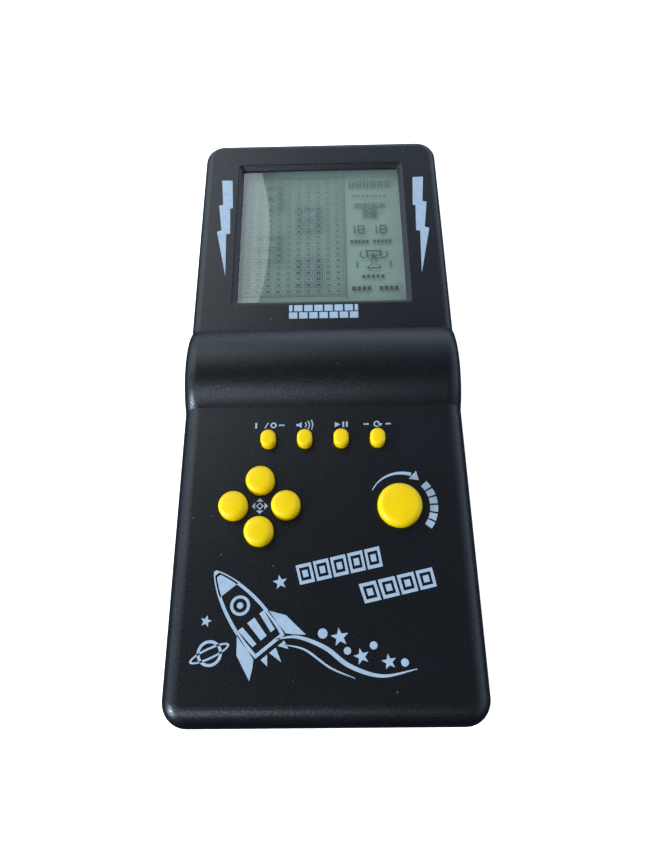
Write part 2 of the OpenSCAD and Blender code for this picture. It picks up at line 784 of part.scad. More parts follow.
battery_lead(1, -24, "#1c1c1c");  // battery_lead_black
contact_plate(-1, lower_cell_y, contact_w, true);  // contact_plate_positive
contact_plate(-1, upper_cell_y, contact_w, true);  // contact_plate_negative
contact_plate(1, bay_y, bay_wid - 1, false);  // contact_plate_bridge
contact_spring(-1, upper_cell_y);  // contact_spring_left
contact_spring(1, lower_cell_y);  // contact_spring_right
cell(-1, lower_cell_y);  // cell_lower
cell(1, upper_cell_y);  // cell_upper
case_screws();
lcd_board_screws();
key_board_screws();
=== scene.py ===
# %% [markdown]
# # A handheld LCD block game
# The real thing is two moulded halves of black ABS with a raised hump across the middle, a recessed window
# over a liquid crystal display, nine yellow keys and a screen-printed front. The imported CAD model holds
# every size and everything that moves. This lesson makes what the eye sees around it, in metres, in the
# same place.

# %% Load the frame
import math

import bmesh
import bpy
import numpy as np
from mathutils import Matrix, Vector


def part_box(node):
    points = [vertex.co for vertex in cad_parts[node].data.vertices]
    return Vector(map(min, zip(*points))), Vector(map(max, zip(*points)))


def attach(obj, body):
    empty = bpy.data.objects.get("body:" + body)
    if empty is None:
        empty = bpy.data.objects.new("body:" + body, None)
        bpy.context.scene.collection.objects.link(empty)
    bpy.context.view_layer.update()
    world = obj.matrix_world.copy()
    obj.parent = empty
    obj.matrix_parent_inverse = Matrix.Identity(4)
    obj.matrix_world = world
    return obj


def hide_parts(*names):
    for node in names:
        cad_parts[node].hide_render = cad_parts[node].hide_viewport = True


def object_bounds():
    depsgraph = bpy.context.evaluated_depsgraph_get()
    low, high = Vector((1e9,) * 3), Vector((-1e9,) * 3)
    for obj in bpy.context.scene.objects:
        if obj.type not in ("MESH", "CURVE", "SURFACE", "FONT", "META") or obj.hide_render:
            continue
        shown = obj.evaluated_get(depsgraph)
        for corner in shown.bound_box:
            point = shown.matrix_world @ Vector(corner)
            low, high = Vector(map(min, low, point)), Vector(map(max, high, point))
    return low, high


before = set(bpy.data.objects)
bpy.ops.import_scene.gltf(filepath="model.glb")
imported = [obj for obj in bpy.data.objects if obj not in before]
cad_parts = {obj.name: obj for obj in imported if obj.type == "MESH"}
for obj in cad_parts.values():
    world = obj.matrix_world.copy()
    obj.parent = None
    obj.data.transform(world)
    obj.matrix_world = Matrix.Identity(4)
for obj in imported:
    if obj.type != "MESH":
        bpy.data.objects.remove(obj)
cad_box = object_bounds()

MM = 0.001

# %% [markdown]
# The sizes come from the CAD nodes' own boxes. Only what a box can't say, such as the radius of the hump,
# is written here again, in millimetres, as the design has it.


# %% Sizes in millimetres
def box_mm(node):
    """Lowest and highest corner of a CAD node, in millimetres."""
    low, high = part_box(node)
    return np.array(low) / MM, np.array(high) / MM


case_low, case_high = box_mm("front_shell")
lens_low, lens_high = box_mm("window_lens")
glass_low, glass_high = box_mm("lcd_front_glass")
rear_glass_high = box_mm("lcd_rear_glass")[1]

HALF_W = case_high[0]
TOP_Y = case_high[1]
PARTING_Z = case_low[2]
WALL = 2.2
HUMP_R = 18.0
HUMP_RISE = 5.5
HUMP_Y = TOP_Y - 88.7
HUMP_AXIS_Z = case_high[2] - HUMP_R
KEY_FACE_Z = case_high[2] - HUMP_RISE
SCREEN_FACE_Z = KEY_FACE_Z + 0.5
SCREEN_INSET = 0.5
CORNER_R = 6.5
KEY_EDGE_R = 5.0
SCREEN_EDGE_R = 3.0
WINDOW_MARGIN = 2.8
WINDOW_BEVEL = 1.2
window_mid = (lens_low[:2] + lens_high[:2]) / 2
window_half = (lens_high[:2] - lens_low[:2]) / 2 - WINDOW_MARGIN
FLANGE_LIP = 0.65
FLANGE_T = 0.9
KEY_GAP = 0.15
KEYS = ["up", "down", "left", "right", "rotate", "power", "sound", "start", "reset"]
print("key face at", round(KEY_FACE_Z, 2), "mm, window", np.round(window_half * 2, 1), "mm")

# %% [markdown]
# ## Camera
# The camera stands 165 mm over the lower end of the case and looks down at 66 degrees, so near that the
# case narrows toward its far end. Its height and turn follow from the way that parallel edges of the case
# draw together.

# %% Camera
SENSOR_MM = 24.0
LENS_MM = 17.9272
CAMERA_X, CAMERA_Y, CAMERA_RISE = 2.55, -88.6, 164.82


def look_basis(pitch, yaw, roll):
    """Right, up and forward of a camera that looks along +Y, tips down by pitch, turns by yaw and
    leans by roll."""
    tip, turn, lean = (math.radians(a) for a in (pitch, yaw, roll))
    forward = Vector((0, math.cos(tip), -math.sin(tip)))
    up = Vector((0, math.sin(tip), math.cos(tip)))
    right = Vector((1, 0, 0))
    spin = Matrix.Rotation(turn, 3, "Z")
    forward, up, right = spin @ forward, spin @ up, spin @ right
    return (
        math.cos(lean) * right + math.sin(lean) * up,
        -math.sin(lean) * right + math.cos(lean) * up,
        forward,
    )


def new_object(name, data):
    """Object in the scene round a mesh, a lamp or a camera."""
    thing = bpy.data.objects.new(name, data)
    bpy.context.collection.objects.link(thing)
    return thing


def make_camera(place_mm, pitch, yaw, roll):
    """The scene's camera, at a place in millimetres, turned the way look_basis gives."""
    right, up, forward = look_basis(pitch, yaw, roll)
    data = bpy.data.cameras.new("camera")
    data.sensor_fit = "VERTICAL"
    data.sensor_height = SENSOR_MM
    data.lens = LENS_MM
    data.clip_start = 0.01
    camera = new_object("camera", data)
    turn = Matrix((right, up, -forward)).transposed().to_4x4()
    camera.matrix_world = Matrix.Translation(Vector(place_mm) * MM) @ turn
    bpy.context.scene.camera = camera
    return camera


camera = make_camera((CAMERA_X, CAMERA_Y, KEY_FACE_Z + CAMERA_RISE), pitch=66.38, yaw=2.11, roll=-2.81)
print("lens", round(camera.data.lens, 1), "mm")

# %% [markdown]
# ## Mesh helpers
# Every new piece is a stack of closed loops or a set of flat plates. Both come down to numpy arrays of
# points and faces, so one small function turns them into a mesh, and one more joins several into a piece.


# %% Meshes from arrays
def loft(loops, cap_low="fan", cap_high="fan", close=False):
    """Skin over a stack of loops: loops[k, i] is point i of loop k. Each cap is a fan about the loop's
    middle, a strip across a loop that mirrors itself, or none. close joins the last loop back to the
    first."""
    loops = np.asarray(loops, float)
    levels, n = loops.shape[:2]
    points = loops.reshape(-1, 3)
    i = np.arange(n)
    j = (i + 1) % n
    pairs = [(k, (k + 1) % levels) for k in range(levels if close else levels - 1)]
    faces = [np.stack([a * n + i, a * n + j, b * n + j, b * n + i], 1) for a, b in pairs]
    faces = [list(f) for block in faces for f in block.tolist()]
    for cap, level, flip in ((cap_low, 0, True), (cap_high, levels - 1, False)):
        if close or cap is None:
            continue
        if cap == "fan":
            points = np.vstack([points, loops[level].mean(0)])
            fan = np.stack([level * n + i, level * n + j, np.full(n, len(points) - 1)], 1)
        else:
            half = np.arange(n // 2 - 1)
            fan = level * n + np.stack([half, half + 1, n - 2 - half, n - 1 - half], 1)
        faces += [f[::-1] if flip else f for f in fan.tolist()]
    return points, faces


def joined(parts):
    """One list of points and faces out of several."""
    points, faces, start = [], [], 0
    for part_points, part_faces in parts:
        points.append(part_points)
        faces += [[start + v for v in f] for f in part_faces]
        start += len(part_points)
    return np.vstack(points), faces


def shade(mesh, sharp_from=30.0):
    """Smooth shading, with edges sharp past an angle in degrees."""
    mesh.shade_smooth()
    mesh.set_sharp_from_angle(angle=math.radians(sharp_from))


def mesh_object(name, part):
    """Object from points in millimetres and faces, with doubled points merged."""
    points, faces = part
    mesh = bpy.data.meshes.new(name)
    mesh.from_pydata((np.asarray(points) * MM).tolist(), [], faces)
    work = bmesh.new()
    work.from_mesh(mesh)
    bmesh.ops.remove_doubles(work, verts=work.verts, dist=1e-7)
    bmesh.ops.dissolve_degenerate(work, edges=work.edges, dist=1e-7)
    work.to_mesh(mesh)
    work.free()
    shade(mesh)
    return new_object(name, mesh)


def even_shading(piece):
    """Makes large flat faces stay flat in the shading beside small round ones."""
    modifier = piece.modifiers.new("even_shading", "WEIGHTED_NORMAL")
    modifier.keep_sharp = True
    modifier.weight = 90


# %% Flat plates and rings
def runs_anticlockwise(outline):
    """True where the sum of x[i] * y[i + 1] - y[i] * x[i + 1] round the outline is above 0."""
    x, y = outline.T
    return np.dot(x, np.roll(y, -1)) > np.dot(y, np.roll(x, -1))


def prism(outline, low, high):
    """Flat plate with any outline, from z = low to z = high."""
    outline = np.asarray(outline, float)
    if not runs_anticlockwise(outline):
        outline = outline[::-1]
    n = len(outline)
    points = np.vstack([np.column_stack([outline, np.full(n, z)]) for z in (low, high)])
    i = np.arange(n)
    j = (i + 1) % n
    sides = np.stack([i, j, n + j, n + i], 1).tolist()
    return points, sides + [i[::-1].tolist(), (n + i).tolist()]


def band(outer, inner, low, high, closed=True):
    """Plate between two outlines with the same number of points, such as a ring or a tapering stroke."""
    outer, inner = np.asarray(outer, float), np.asarray(inner, float)
    n = len(outer)
    section = [(outer, low), (outer, high), (inner, high), (inner, low)]
    loops = np.array([np.column_stack([line, np.full(n, z)]) for line, z in section])
    points = loops.reshape(-1, 3)
    i = np.arange(n if closed else n - 1)
    j = (i + 1) % n
    faces = []
    for a in range(4):
        b = (a + 1) % 4
        faces += np.stack([a * n + i, b * n + i, b * n + j, a * n + j], 1).tolist()
    if not closed:
        faces += [[0, 3 * n, 2 * n, n], [n - 1, 2 * n - 1, 3 * n - 1, 4 * n - 1]]
    if runs_anticlockwise(np.vstack([outer, inner[::-1]])):
        faces = [f[::-1] for f in faces]
    return points, faces


# %% Finishing a piece
def signed_volume(piece):
    """Volume in cubic millimetres, below 0 for a piece that is inside out."""
    work = bmesh.new()
    work.from_mesh(piece.data)
    volume = work.calc_volume(signed=True)
    work.free()
    return volume / MM**3


def finish_piece(piece, material, body, replaces=()):
    """Material, body, finish and the CAD nodes that the piece stands for."""
    piece.data.materials.clear()
    piece.data.materials.append(material)
    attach(piece, body)
    if replaces:
        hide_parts(*replaces)
    print(piece.name, len(piece.data.polygons), "faces,", round(signed_volume(piece), 2), "mm3")
    return piece


# %% [markdown]
# ## Material helpers
# Hex colours are sRGB, as a paint chart gives them, and Blender wants linear light, so one function
# converts them. Patterns are sized in millimetres: a noise with a grain of 0.4 mm has a scale of one over
# 0.4 mm.


# %% Material helpers
def linear(hex_colour):
    """Linear RGBA from an sRGB hex value."""
    value = np.array([int(hex_colour[i : i + 2], 16) for i in (1, 3, 5)]) / 255
    rgb = np.where(value <= 0.04045, value / 12.92, ((value + 0.055) / 1.055) ** 2.4)
    return (*rgb.tolist(), 1.0)


def per_mm(size):
    """Texture scale for a pattern whose features are size millimetres apart."""
    return 1 / (size * MM)


def add_node(tree, kind, inputs=None, **settings):
    """Adds a node. inputs gives each socket a value or another node's output socket."""
    node = tree.nodes.new(kind)
    for key, value in settings.items():
        setattr(node, key, value)
    for socket, value in (inputs or {}).items():
        if isinstance(value, bpy.types.NodeSocket):
            tree.links.new(value, node.inputs[socket])
        else:
            node.inputs[socket].default_value = value
    return node


def span(from_low, from_high, to_low, to_high):
    """Values for a Map Range node that takes one span of numbers to another."""
    return {"From Min": from_low, "From Max": from_high, "To Min": to_low, "To Max": to_high}


def set_stops(ramp, stops):
    """Gives a Color Ramp node its stops, each a position and a hex colour."""
    elements = ramp.color_ramp.elements
    while len(elements) < len(stops):
        elements.new(0.5)
    for element, (at, colour) in zip(elements, stops):
        element.position = at
        element.color = linear(colour)


def new_material(name, colour, **sockets):
    """Principled material with plain values, its tree, its shader and its object coordinates."""
    material = bpy.data.materials.new(name)
    material.use_nodes = True
    tree = material.node_tree
    shader = tree.nodes["Principled BSDF"]
    shader.inputs["Base Color"].default_value = linear(colour)
    for socket, value in sockets.items():
        shader.inputs[socket.replace("_", " ")].default_value = value
    place = add_node(tree, "ShaderNodeTexCoord").outputs["Object"]
    return material, tree, shader, place


def add_bump(tree, shader, height, depth_mm, strength=1.0):
    """Surface relief of depth_mm from a height between 0 and 1."""
    relief = {"Height": height, "Distance": depth_mm * MM, "Strength": strength}
    bump = add_node(tree, "ShaderNodeBump", relief)
    tree.links.new(bump.outputs["Normal"], shader.inputs["Normal"])


def mottled(tree, shader, place, colours, size_mm):
    """Base colour that drifts between two hex values over patches of size_mm."""
    patches = {"Vector": place, "Scale": per_mm(size_mm), "Detail": 3.0}
    noise = add_node(tree, "ShaderNodeTexNoise", patches)
    ramp = add_node(tree, "ShaderNodeValToRGB", {"Fac": noise.outputs["Fac"]})
    set_stops(ramp, [(0.35, colours[0]), (0.65, colours[1])])
    tree.links.new(ramp.outputs["Color"], shader.inputs["Base Color"])
    return ramp


# %% [markdown]
# ## Black ABS
# The case is moulded in a tool whose face was spark-eroded, which leaves a fine grain. It makes the black
# look matt from above and sparkle where light grazes it. Real grains are nearer 0.15 mm across, and they
# are drawn at 0.42 mm so that they show. A few specks of dust lie on it, each the very middle of a Voronoi
# cell.

# %% Black ABS
GRAIN_MM = 0.42
ABS_ROUGHNESS = 0.32
case_abs, tree, shader, place = new_material(
    "spark_eroded_black_abs", "#0a0a0b", IOR=1.53, Specular_IOR_Level=0.32
)
tones = mottled(tree, shader, place, ("#0a0a0b", "#0d0d0f"), size_mm=14.0)
grain = add_node(
    tree, "ShaderNodeTexNoise", {"Vector": place, "Scale": per_mm(GRAIN_MM), "Detail": 2.0, "Roughness": 0.5}
)
add_bump(tree, shader, grain.outputs["Fac"], depth_mm=0.065)
rough_span = span(0.3, 0.7, ABS_ROUGHNESS - 0.07, ABS_ROUGHNESS + 0.1)
rough = add_node(tree, "ShaderNodeMapRange", {"Value": grain.outputs["Fac"], **rough_span})
tree.links.new(rough.outputs["Result"], shader.inputs["Roughness"])
print(case_abs.name, "grain", GRAIN_MM, "mm")

# %% Dust on the black
specks = add_node(tree, "ShaderNodeTexVoronoi", {"Vector": place, "Scale": per_mm(5.0), "Randomness": 1.0})
spot = add_node(
    tree, "ShaderNodeMapRange", {"Value": specks.outputs["Distance"], **span(0.022, 0.045, 1.0, 0.0)}
)
patches = add_node(tree, "ShaderNodeTexNoise", {"Vector": place, "Scale": per_mm(11.0), "Detail": 0.0})
here = add_node(tree, "ShaderNodeMapRange", {"Value": patches.outputs["Fac"], **span(0.5, 0.62, 0.0, 0.5)})
share = add_node(
    tree, "ShaderNodeMath", {0: spot.outputs["Result"], 1: here.outputs["Result"]}, operation="MULTIPLY"
)
dusted = add_node(
    tree,
    "ShaderNodeMix",
    {"Factor": share.outputs[0], 6: tones.outputs["Color"], 7: linear("#8d9095")},
    data_type="RGBA",
)
tree.links.new(dusted.outputs[2], shader.inputs["Base Color"])

# %% [markdown]
# ## Front half of the case
# The plan is a rectangle with quarter-round corners. At each place on it the edge rolls inward on a circle
# up to the front face, whose height is flat over the keys, a circle over the hump and flat round the
# screen. So the skin is a stack of loops, one per angle round the edge, and the same function set in by the
# wall gives the inside.


# %% How wide and how high the case is at each y
def smooth_step(t):
    """0 up to t = 0, 1 from t = 1, and 3 t^2 - 2 t^3 between."""
    t = np.clip(t, 0, 1)
    return t * t * (3 - 2 * t)


def across_hump(y):
    """0 on the key side of the hump, 1 on the screen side."""
    return smooth_step((y - HUMP_Y + HUMP_R * 0.7) / (HUMP_R * 1.4))


def half_width(y):
    """Half of the case's width, a little less on the screen side of the hump."""
    return HALF_W - SCREEN_INSET * across_hump(y)


def front_edge_radius(y):
    """Radius of the rolled edge, smaller on the screen side of the hump."""
    return KEY_EDGE_R + (SCREEN_EDGE_R - KEY_EDGE_R) * across_hump(y)


def front_height(y, inset):
    """Height of the front, set in by inset: two flats, and a circle of radius HUMP_R - inset between them."""
    flat = np.where(y < HUMP_Y, KEY_FACE_Z, SCREEN_FACE_Z) - inset
    r = HUMP_R - inset
    arch = HUMP_AXIS_Z + np.sqrt(np.maximum(r * r - (y - HUMP_Y) ** 2, 0))
    return np.maximum(flat, arch)


# %% Plan of the case
def case_plan(inset, corner_steps=14, hump_steps=44):
    """Right half of the plan from the lower end to the top: points and outward normals, corners as quarter
    circles and the side as the hump's own width over its arc."""
    r = CORNER_R - inset
    turn = np.radians(np.linspace(0, 90, corner_steps + 1))
    end_y = TOP_Y - CORNER_R
    low_mid = HALF_W - CORNER_R
    high_mid = HALF_W - SCREEN_INSET - CORNER_R
    low_n = np.column_stack([np.sin(turn), -np.cos(turn)])
    high_n = np.column_stack([np.cos(turn), np.sin(turn)])
    hump_r = HUMP_R - inset
    low_a = math.acos((KEY_FACE_Z - inset - HUMP_AXIS_Z) / hump_r)
    high_a = math.acos((SCREEN_FACE_Z - inset - HUMP_AXIS_Z) / hump_r)
    side_y = HUMP_Y + hump_r * np.sin(np.linspace(-low_a, high_a, hump_steps + 1))
    side = np.column_stack([half_width(side_y) - inset, side_y])
    points = np.vstack([[low_mid, -end_y] + r * low_n, side, [high_mid, end_y] + r * high_n])
    normals = np.vstack([low_n, np.tile([1.0, 0.0], (len(side), 1)), high_n])
    return points, normals


def mirrored_loop(points, heights):
    """Closed loop out of its right half."""
    right = np.column_stack([points, heights])
    left = right[::-1] * [-1, 1, 1]
    return np.vstack([right, left])


# %% Skin of the front half
def front_loops(inset, foot_z, edge_steps=12, chamfer=0.0):
    """Loops from the parting line up the wall and round the edge: at angle a a point is in by
    r(1 - cos a) and down from the front face by r(1 - sin a)."""
    points, normals = case_plan(inset)
    y = points[:, 1]
    r = np.maximum(front_edge_radius(y) - inset, 0.5)
    top = front_height(y, inset)
    loops = [mirrored_loop(points - normals * chamfer, np.full(len(y), foot_z))]
    if chamfer:
        loops.append(mirrored_loop(points, np.full(len(y), foot_z + chamfer)))
    for a in np.radians(np.linspace(0, 90, edge_steps + 1)):
        inward = (r * (1 - math.cos(a)))[:, None]
        loops.append(mirrored_loop(points - normals * inward, top - r * (1 - math.sin(a))))
    return np.array(loops)


def hollow_shell(outer, inner):
    """Closed shell: outer skin with its face, rim, and inner skin with its face turned round."""
    n = outer.shape[1]
    outer_points, outer_faces = loft(outer, cap_low=None, cap_high="strip")
    inner_points, inner_faces = loft(inner, cap_low=None, cap_high="strip")
    start = len(outer_points)
    i = np.arange(n)
    j = (i + 1) % n
    rim = np.stack([i, start + i, start + j, j], 1).tolist()
    faces = outer_faces + [[start + v for v in f[::-1]] for f in inner_faces] + rim
    return np.vstack([outer_points, inner_points]), faces


front_case = mesh_object(
    "front_case", hollow_shell(front_loops(0.0, PARTING_Z, chamfer=0.12), front_loops(WALL, PARTING_Z))
)
print("front skin", round(signed_volume(front_case)), "mm3")

# %% [markdown]
# ## Holes in the front
# A moulded hole has a small radius on its rim, so each cutter flares out as it comes to the surface. The
# window's cutter flares at 45 degrees, which leaves its bevel.


# %% Outlines for holes and keys
def stadium(radius, run, count=48):
    """Round-ended outline, 2 * radius wide, with its two ends' centres 2 * run apart along Y."""
    a = np.linspace(0, 2 * np.pi, count, endpoint=False) + np.pi / count
    ring = np.column_stack([np.cos(a), np.sin(a)]) * radius
    return ring + np.column_stack([np.zeros(count), np.where(ring[:, 1] > 0, run, -run)])


def round_rectangle(half, radius, steps=6):
    """Rectangle with quarter-round corners, anticlockwise from its lower right corner."""
    a = np.radians(np.linspace(0, 90, steps + 1))
    loops = []
    for k, (sx, sy) in enumerate(((1, -1), (1, 1), (-1, 1), (-1, -1))):
        b = a + math.radians(90 * (k - 1))
        middle = np.array([sx * (half[0] - radius), sy * (half[1] - radius)])
        loops.append(middle + radius * np.column_stack([np.cos(b), np.sin(b)]))
    return np.vstack(loops)


def stack_of(outlines, heights, middle):
    """Loops from outlines about a middle, each at its own height."""
    return np.array(
        [np.column_stack([line + middle, np.full(len(line), z)]) for line, z in zip(outlines, heights)]
    )


# %% Key hole and window cutters
def key_shape(name):
    """Middle, radius and half run of a key's shank, and its top, from its CAD box."""
    low, high = box_mm("key_" + name)
    size = high - low - 2 * FLANGE_LIP
    return (low[:2] + high[:2]) / 2, size[0] / 2, (size[1] - size[0]) / 2, low[2], high[2]


def key_hole_cutter(name, rim=0.3):
    """Key outline grown by the gap, and by rim * (1 - cos a) at each angle a up its rounded rim."""
    middle, radius, run, _, _ = key_shape(name)
    a = np.radians(np.linspace(0, 80, 5))
    flare = rim * (1 - np.cos(a))
    rise = KEY_FACE_Z - rim + rim * np.sin(a)
    radii = np.concatenate([[0, 0], flare, [rim + 1.0]]) + radius + KEY_GAP
    heights = np.concatenate([[KEY_FACE_Z - WALL - 2, KEY_FACE_Z - rim - 0.2], rise, [KEY_FACE_Z + 0.25]])
    return loft(stack_of([stadium(r, run) for r in radii], heights, middle))


def window_cutter(rim=0.25):
    """Straight wall, 45 degree bevel, and a rounded edge onto the face."""
    grow = [0, 0, WINDOW_BEVEL, WINDOW_BEVEL + rim * 0.7, WINDOW_BEVEL + rim * 2.2, WINDOW_BEVEL + 4]
    drop = [WALL + 3, WINDOW_BEVEL, 0.12, 0.04, 0.0, -0.4]
    outlines = [round_rectangle(window_half + g, 0.5 + g * 0.6) for g in grow]
    return loft(stack_of(outlines, [SCREEN_FACE_Z - d for d in drop], window_mid))


# %% Cut the holes
def cut(piece, cutter_part):
    """Boolean difference, kept in the piece's own mesh."""
    cutter = mesh_object("cutter", cutter_part)
    modifier = piece.modifiers.new("cut", "BOOLEAN")
    modifier.object = cutter
    modifier.operation = "DIFFERENCE"
    modifier.solver = "EXACT"
    shaped = bpy.data.meshes.new_from_object(piece.evaluated_get(bpy.context.evaluated_depsgraph_get()))
    piece.modifiers.clear()
    old, piece.data = piece.data, shaped
    bpy.data.meshes.remove(old)
    bpy.data.objects.remove(cutter)
    piece.data.name = piece.name
    shade(piece.data)


pocket_outline = round_rectangle((glass_high[:2] - glass_low[:2]) / 2 + 0.3, 0.3)
lens_pocket = loft(stack_of([pocket_outline] * 2, [glass_low[2] - 1, lens_high[2]], window_mid))
cut(front_case, joined([key_hole_cutter(k) for k in KEYS] + [window_cutter()]))
cut(front_case, lens_pocket)
print("front case with holes", round(signed_volume(front_case)), "mm3")

# %% [markdown]
# ## Screw bosses
# Under the face stand hollow posts that the screws bite into. The CAD holds the screws, so each post goes
# where a screw is. A node holds several screws, and their middles are found by grouping its points in plan.


# %% Screw bosses
def tube(x, y, outer_r, inner_r, low, high, count=40):
    """Screw boss: an open tube closed into a solid by its two rims."""
    rings = [stadium(r, 0, count) for r in (outer_r, outer_r, inner_r, inner_r)]
    return loft(stack_of(rings, [low, high, high, low], np.array([x, y])), close=True)


def pieces_of(node, step=3.0):
    """Middles of the separate solids in a node that is a set of screws, from its points in plan."""
    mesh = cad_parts[node].data
    flat = np.empty(len(mesh.vertices) * 3)
    mesh.vertices.foreach_get("co", flat)
    plan = flat.reshape(-1, 3)[:, :2] / MM
    groups = []
    for point in np.unique(np.round(plan / step) * step, axis=0):
        near = [g for g in groups if np.abs(g[0] - point).max() < 3 * step]
        if near:
            near[0].append(point)
        else:
            groups.append([point])
    found = []
    for g in groups:
        near = plan[np.abs(plan - np.mean(g, axis=0)).max(1) < 2 * step]
        found.append((near.min(0) + near.max(0)) / 2)
    return found


BOSS_ROOT = WALL - 0.2
# Each row: screws, outer radius, hole radius, foot and the face over them
BOSS_ROWS = [
    ("case_screws", 3.0, 1.3, PARTING_Z, KEY_FACE_Z),
    ("lcd_board_screws", 2.2, 0.9, box_mm("lcd_board")[1][2], SCREEN_FACE_Z),
    ("key_board_screws", 2.2, 0.9, box_mm("key_board")[1][2], KEY_FACE_Z),
]
bosses = [
    tube(x, y, outer_r, inner_r, foot, face - BOSS_ROOT)
    for node, outer_r, inner_r, foot, face in BOSS_ROWS
    for x, y in pieces_of(node)
]
front_bosses = mesh_object("front_bosses", joined(bosses))
finish_piece(front_bosses, case_abs, "case")
finish_piece(front_case, case_abs, "case", replaces=["front_shell"])
even_shading(front_case)

# %% [markdown]
# ## Back half and battery door
# These take the CAD nodes' own shapes: sound holes, screw wells, thumb grooves. Merging their doubled
# points lets them shade smoothly, and a narrow bevel rounds the edges the way a mould does.


# %% Merged copies of CAD nodes
def merged_copy(name, node, bevel_mm=0.12):
    """Copy of a CAD node with doubled points merged, flat faces joined and edges rounded by bevel_mm."""
    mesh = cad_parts[node].data.copy()
    mesh.name = name
    work = bmesh.new()
    work.from_mesh(mesh)
    bmesh.ops.remove_doubles(work, verts=work.verts, dist=2e-6)
    bmesh.ops.dissolve_limit(work, angle_limit=math.radians(0.3), verts=work.verts, edges=work.edges)
    work.to_mesh(mesh)
    work.free()
    shade(mesh, sharp_from=32.0)
    piece = new_object(name, mesh)
    bevel = piece.modifiers.new("mould_radius", "BEVEL")
    bevel.width = bevel_mm * MM
    bevel.segments = 2
    bevel.limit_method = "ANGLE"
    bevel.angle_limit = math.radians(45)
    even_shading(piece)
    return piece


rear_case = merged_copy("rear_case", "rear_shell")
finish_piece(rear_case, case_abs, "case", replaces=["rear_shell"])
door = merged_copy("door_panel", "battery_door")
finish_piece(door, case_abs, "door", replaces=["battery_door"])

# %% [markdown]
# ## Keys
# A key is a post with a flange that keeps it under the face. Its outline is a circle, or a stadium for the
# small ones. The cap rolls over on a circle and then rises a little to the middle: z = top - crown * (s /
# radius)^2.


# %% Key caps
def key_part(name, rim, crown):
    """Loops up the flange and the post, round a rim circle, and over the crown to the middle."""
    middle, radius, run, low, top = key_shape(name)
    turn = np.radians(np.linspace(0, 90, 11))
    drop = crown * ((radius - rim) / radius) ** 2
    s = np.linspace(radius - rim, 0.02, 8)[1:]
    flange = low + FLANGE_T
    foot_inset = [-FLANGE_LIP, -FLANGE_LIP, -FLANGE_LIP + 0.12, -0.2, 0]
    foot_height = [low, flange - 0.12, flange, flange, flange + 0.2]
    rim_height = top - drop - rim * (1 - np.sin(turn))
    inset = np.concatenate([foot_inset, rim * (1 - np.cos(turn)), radius - s])
    height = np.concatenate([foot_height, rim_height, top - crown * (s / radius) ** 2])
    return loft(stack_of([stadium(radius - d, run) for d in inset], height, middle))


# %% Yellow keys
# Satin ABS in solid yellow: a soft sheen, a little light through its edges, a slight drift of tone.
# The satin is finer than it is drawn here
key_look = {"Roughness": 0.36, "IOR": 1.5, "Specular_IOR_Level": 0.25, "Subsurface_Weight": 0.12}
yellow, tree, shader, place = new_material("satin_yellow_plastic", "#f0c802", **key_look)
shader.inputs["Subsurface Scale"].default_value = 0.0015
shader.inputs["Subsurface Radius"].default_value = (1.0, 0.8, 0.1)
mottled(tree, shader, place, ("#ecc002", "#f2c703"), size_mm=6.0)
satin = add_node(tree, "ShaderNodeTexNoise", {"Vector": place, "Scale": per_mm(0.25), "Detail": 2.0})
add_bump(tree, shader, satin.outputs["Fac"], depth_mm=0.012, strength=0.5)
BIG_KEY_R = 3.0
BIG_RIM, SMALL_RIM = 1.6, 0.95
BIG_CROWN, SMALL_CROWN = 0.4, 0.2
for name in KEYS:
    big = key_shape(name)[1] > BIG_KEY_R
    rim, crown = (BIG_RIM, BIG_CROWN) if big else (SMALL_RIM, SMALL_CROWN)
    cap = mesh_object("cap_" + name, key_part(name, rim, crown))
    finish_piece(cap, yellow, "button_" + name, replaces=["key_" + name])

# %% [markdown]
# ## Print on the face
# The front is screen printed in one pale blue ink, which stands 0.04 mm proud. The marks are plain shapes:
# two lightning bolts, a wall of bricks, rows of brick cells, a rocket with its trail, and a symbol for each
# small key. Each is an outline, a ring or a stroke, made a thin closed plate that just enters the case.

# %% Ink
INK_T = 0.04
INK_SINK = 0.02
ink, tree, shader, place = new_material("pale_blue_screen_ink", "#a0aeb8", Roughness=0.5, IOR=1.45)
# The mesh of the screen leaves the ink faintly cloudy and lets the grain under it show
mottled(tree, shader, place, ("#97a7b2", "#a3b1ba"), size_mm=1.6)
grain = add_node(tree, "ShaderNodeTexNoise", {"Vector": place, "Scale": per_mm(GRAIN_MM), "Detail": 2.0})
add_bump(tree, shader, grain.outputs["Fac"], depth_mm=0.06, strength=0.4)


# %% Lines and outlines
def arc(middle, radius, start, stop, count=32):
    """Points on a circle, from start to stop in degrees."""
    a = np.radians(np.linspace(start, stop, count))
    radius = np.broadcast_to(np.asarray(radius, float), a.shape)
    return np.asarray(middle) + np.column_stack([np.cos(a), np.sin(a)]) * radius[:, None]


def circle(middle, radius, count=40):
    """Points round a whole circle, anticlockwise."""
    return arc(middle, radius, 0, 360 - 360 / count, count)


def star(middle, radius, turn=0.0):
    """Five-pointed star."""
    a = np.radians(90 + turn + 36 * np.arange(10))
    r = np.where(np.arange(10) % 2 == 0, radius, radius * 0.42)
    return np.asarray(middle) + np.column_stack([np.cos(a), np.sin(a)]) * r[:, None]


def stroke(line, widths):
    """Both sides of a line of points that has a width at each one."""
    line = np.asarray(line, float)
    along = np.gradient(line, axis=0)
    along /= np.linalg.norm(along, axis=1, keepdims=True)
    across = np.column_stack([-along[:, 1], along[:, 0]])
    half = np.broadcast_to(np.asarray(widths, float) / 2, len(line))[:, None]
    return line + across * half, line - across * half


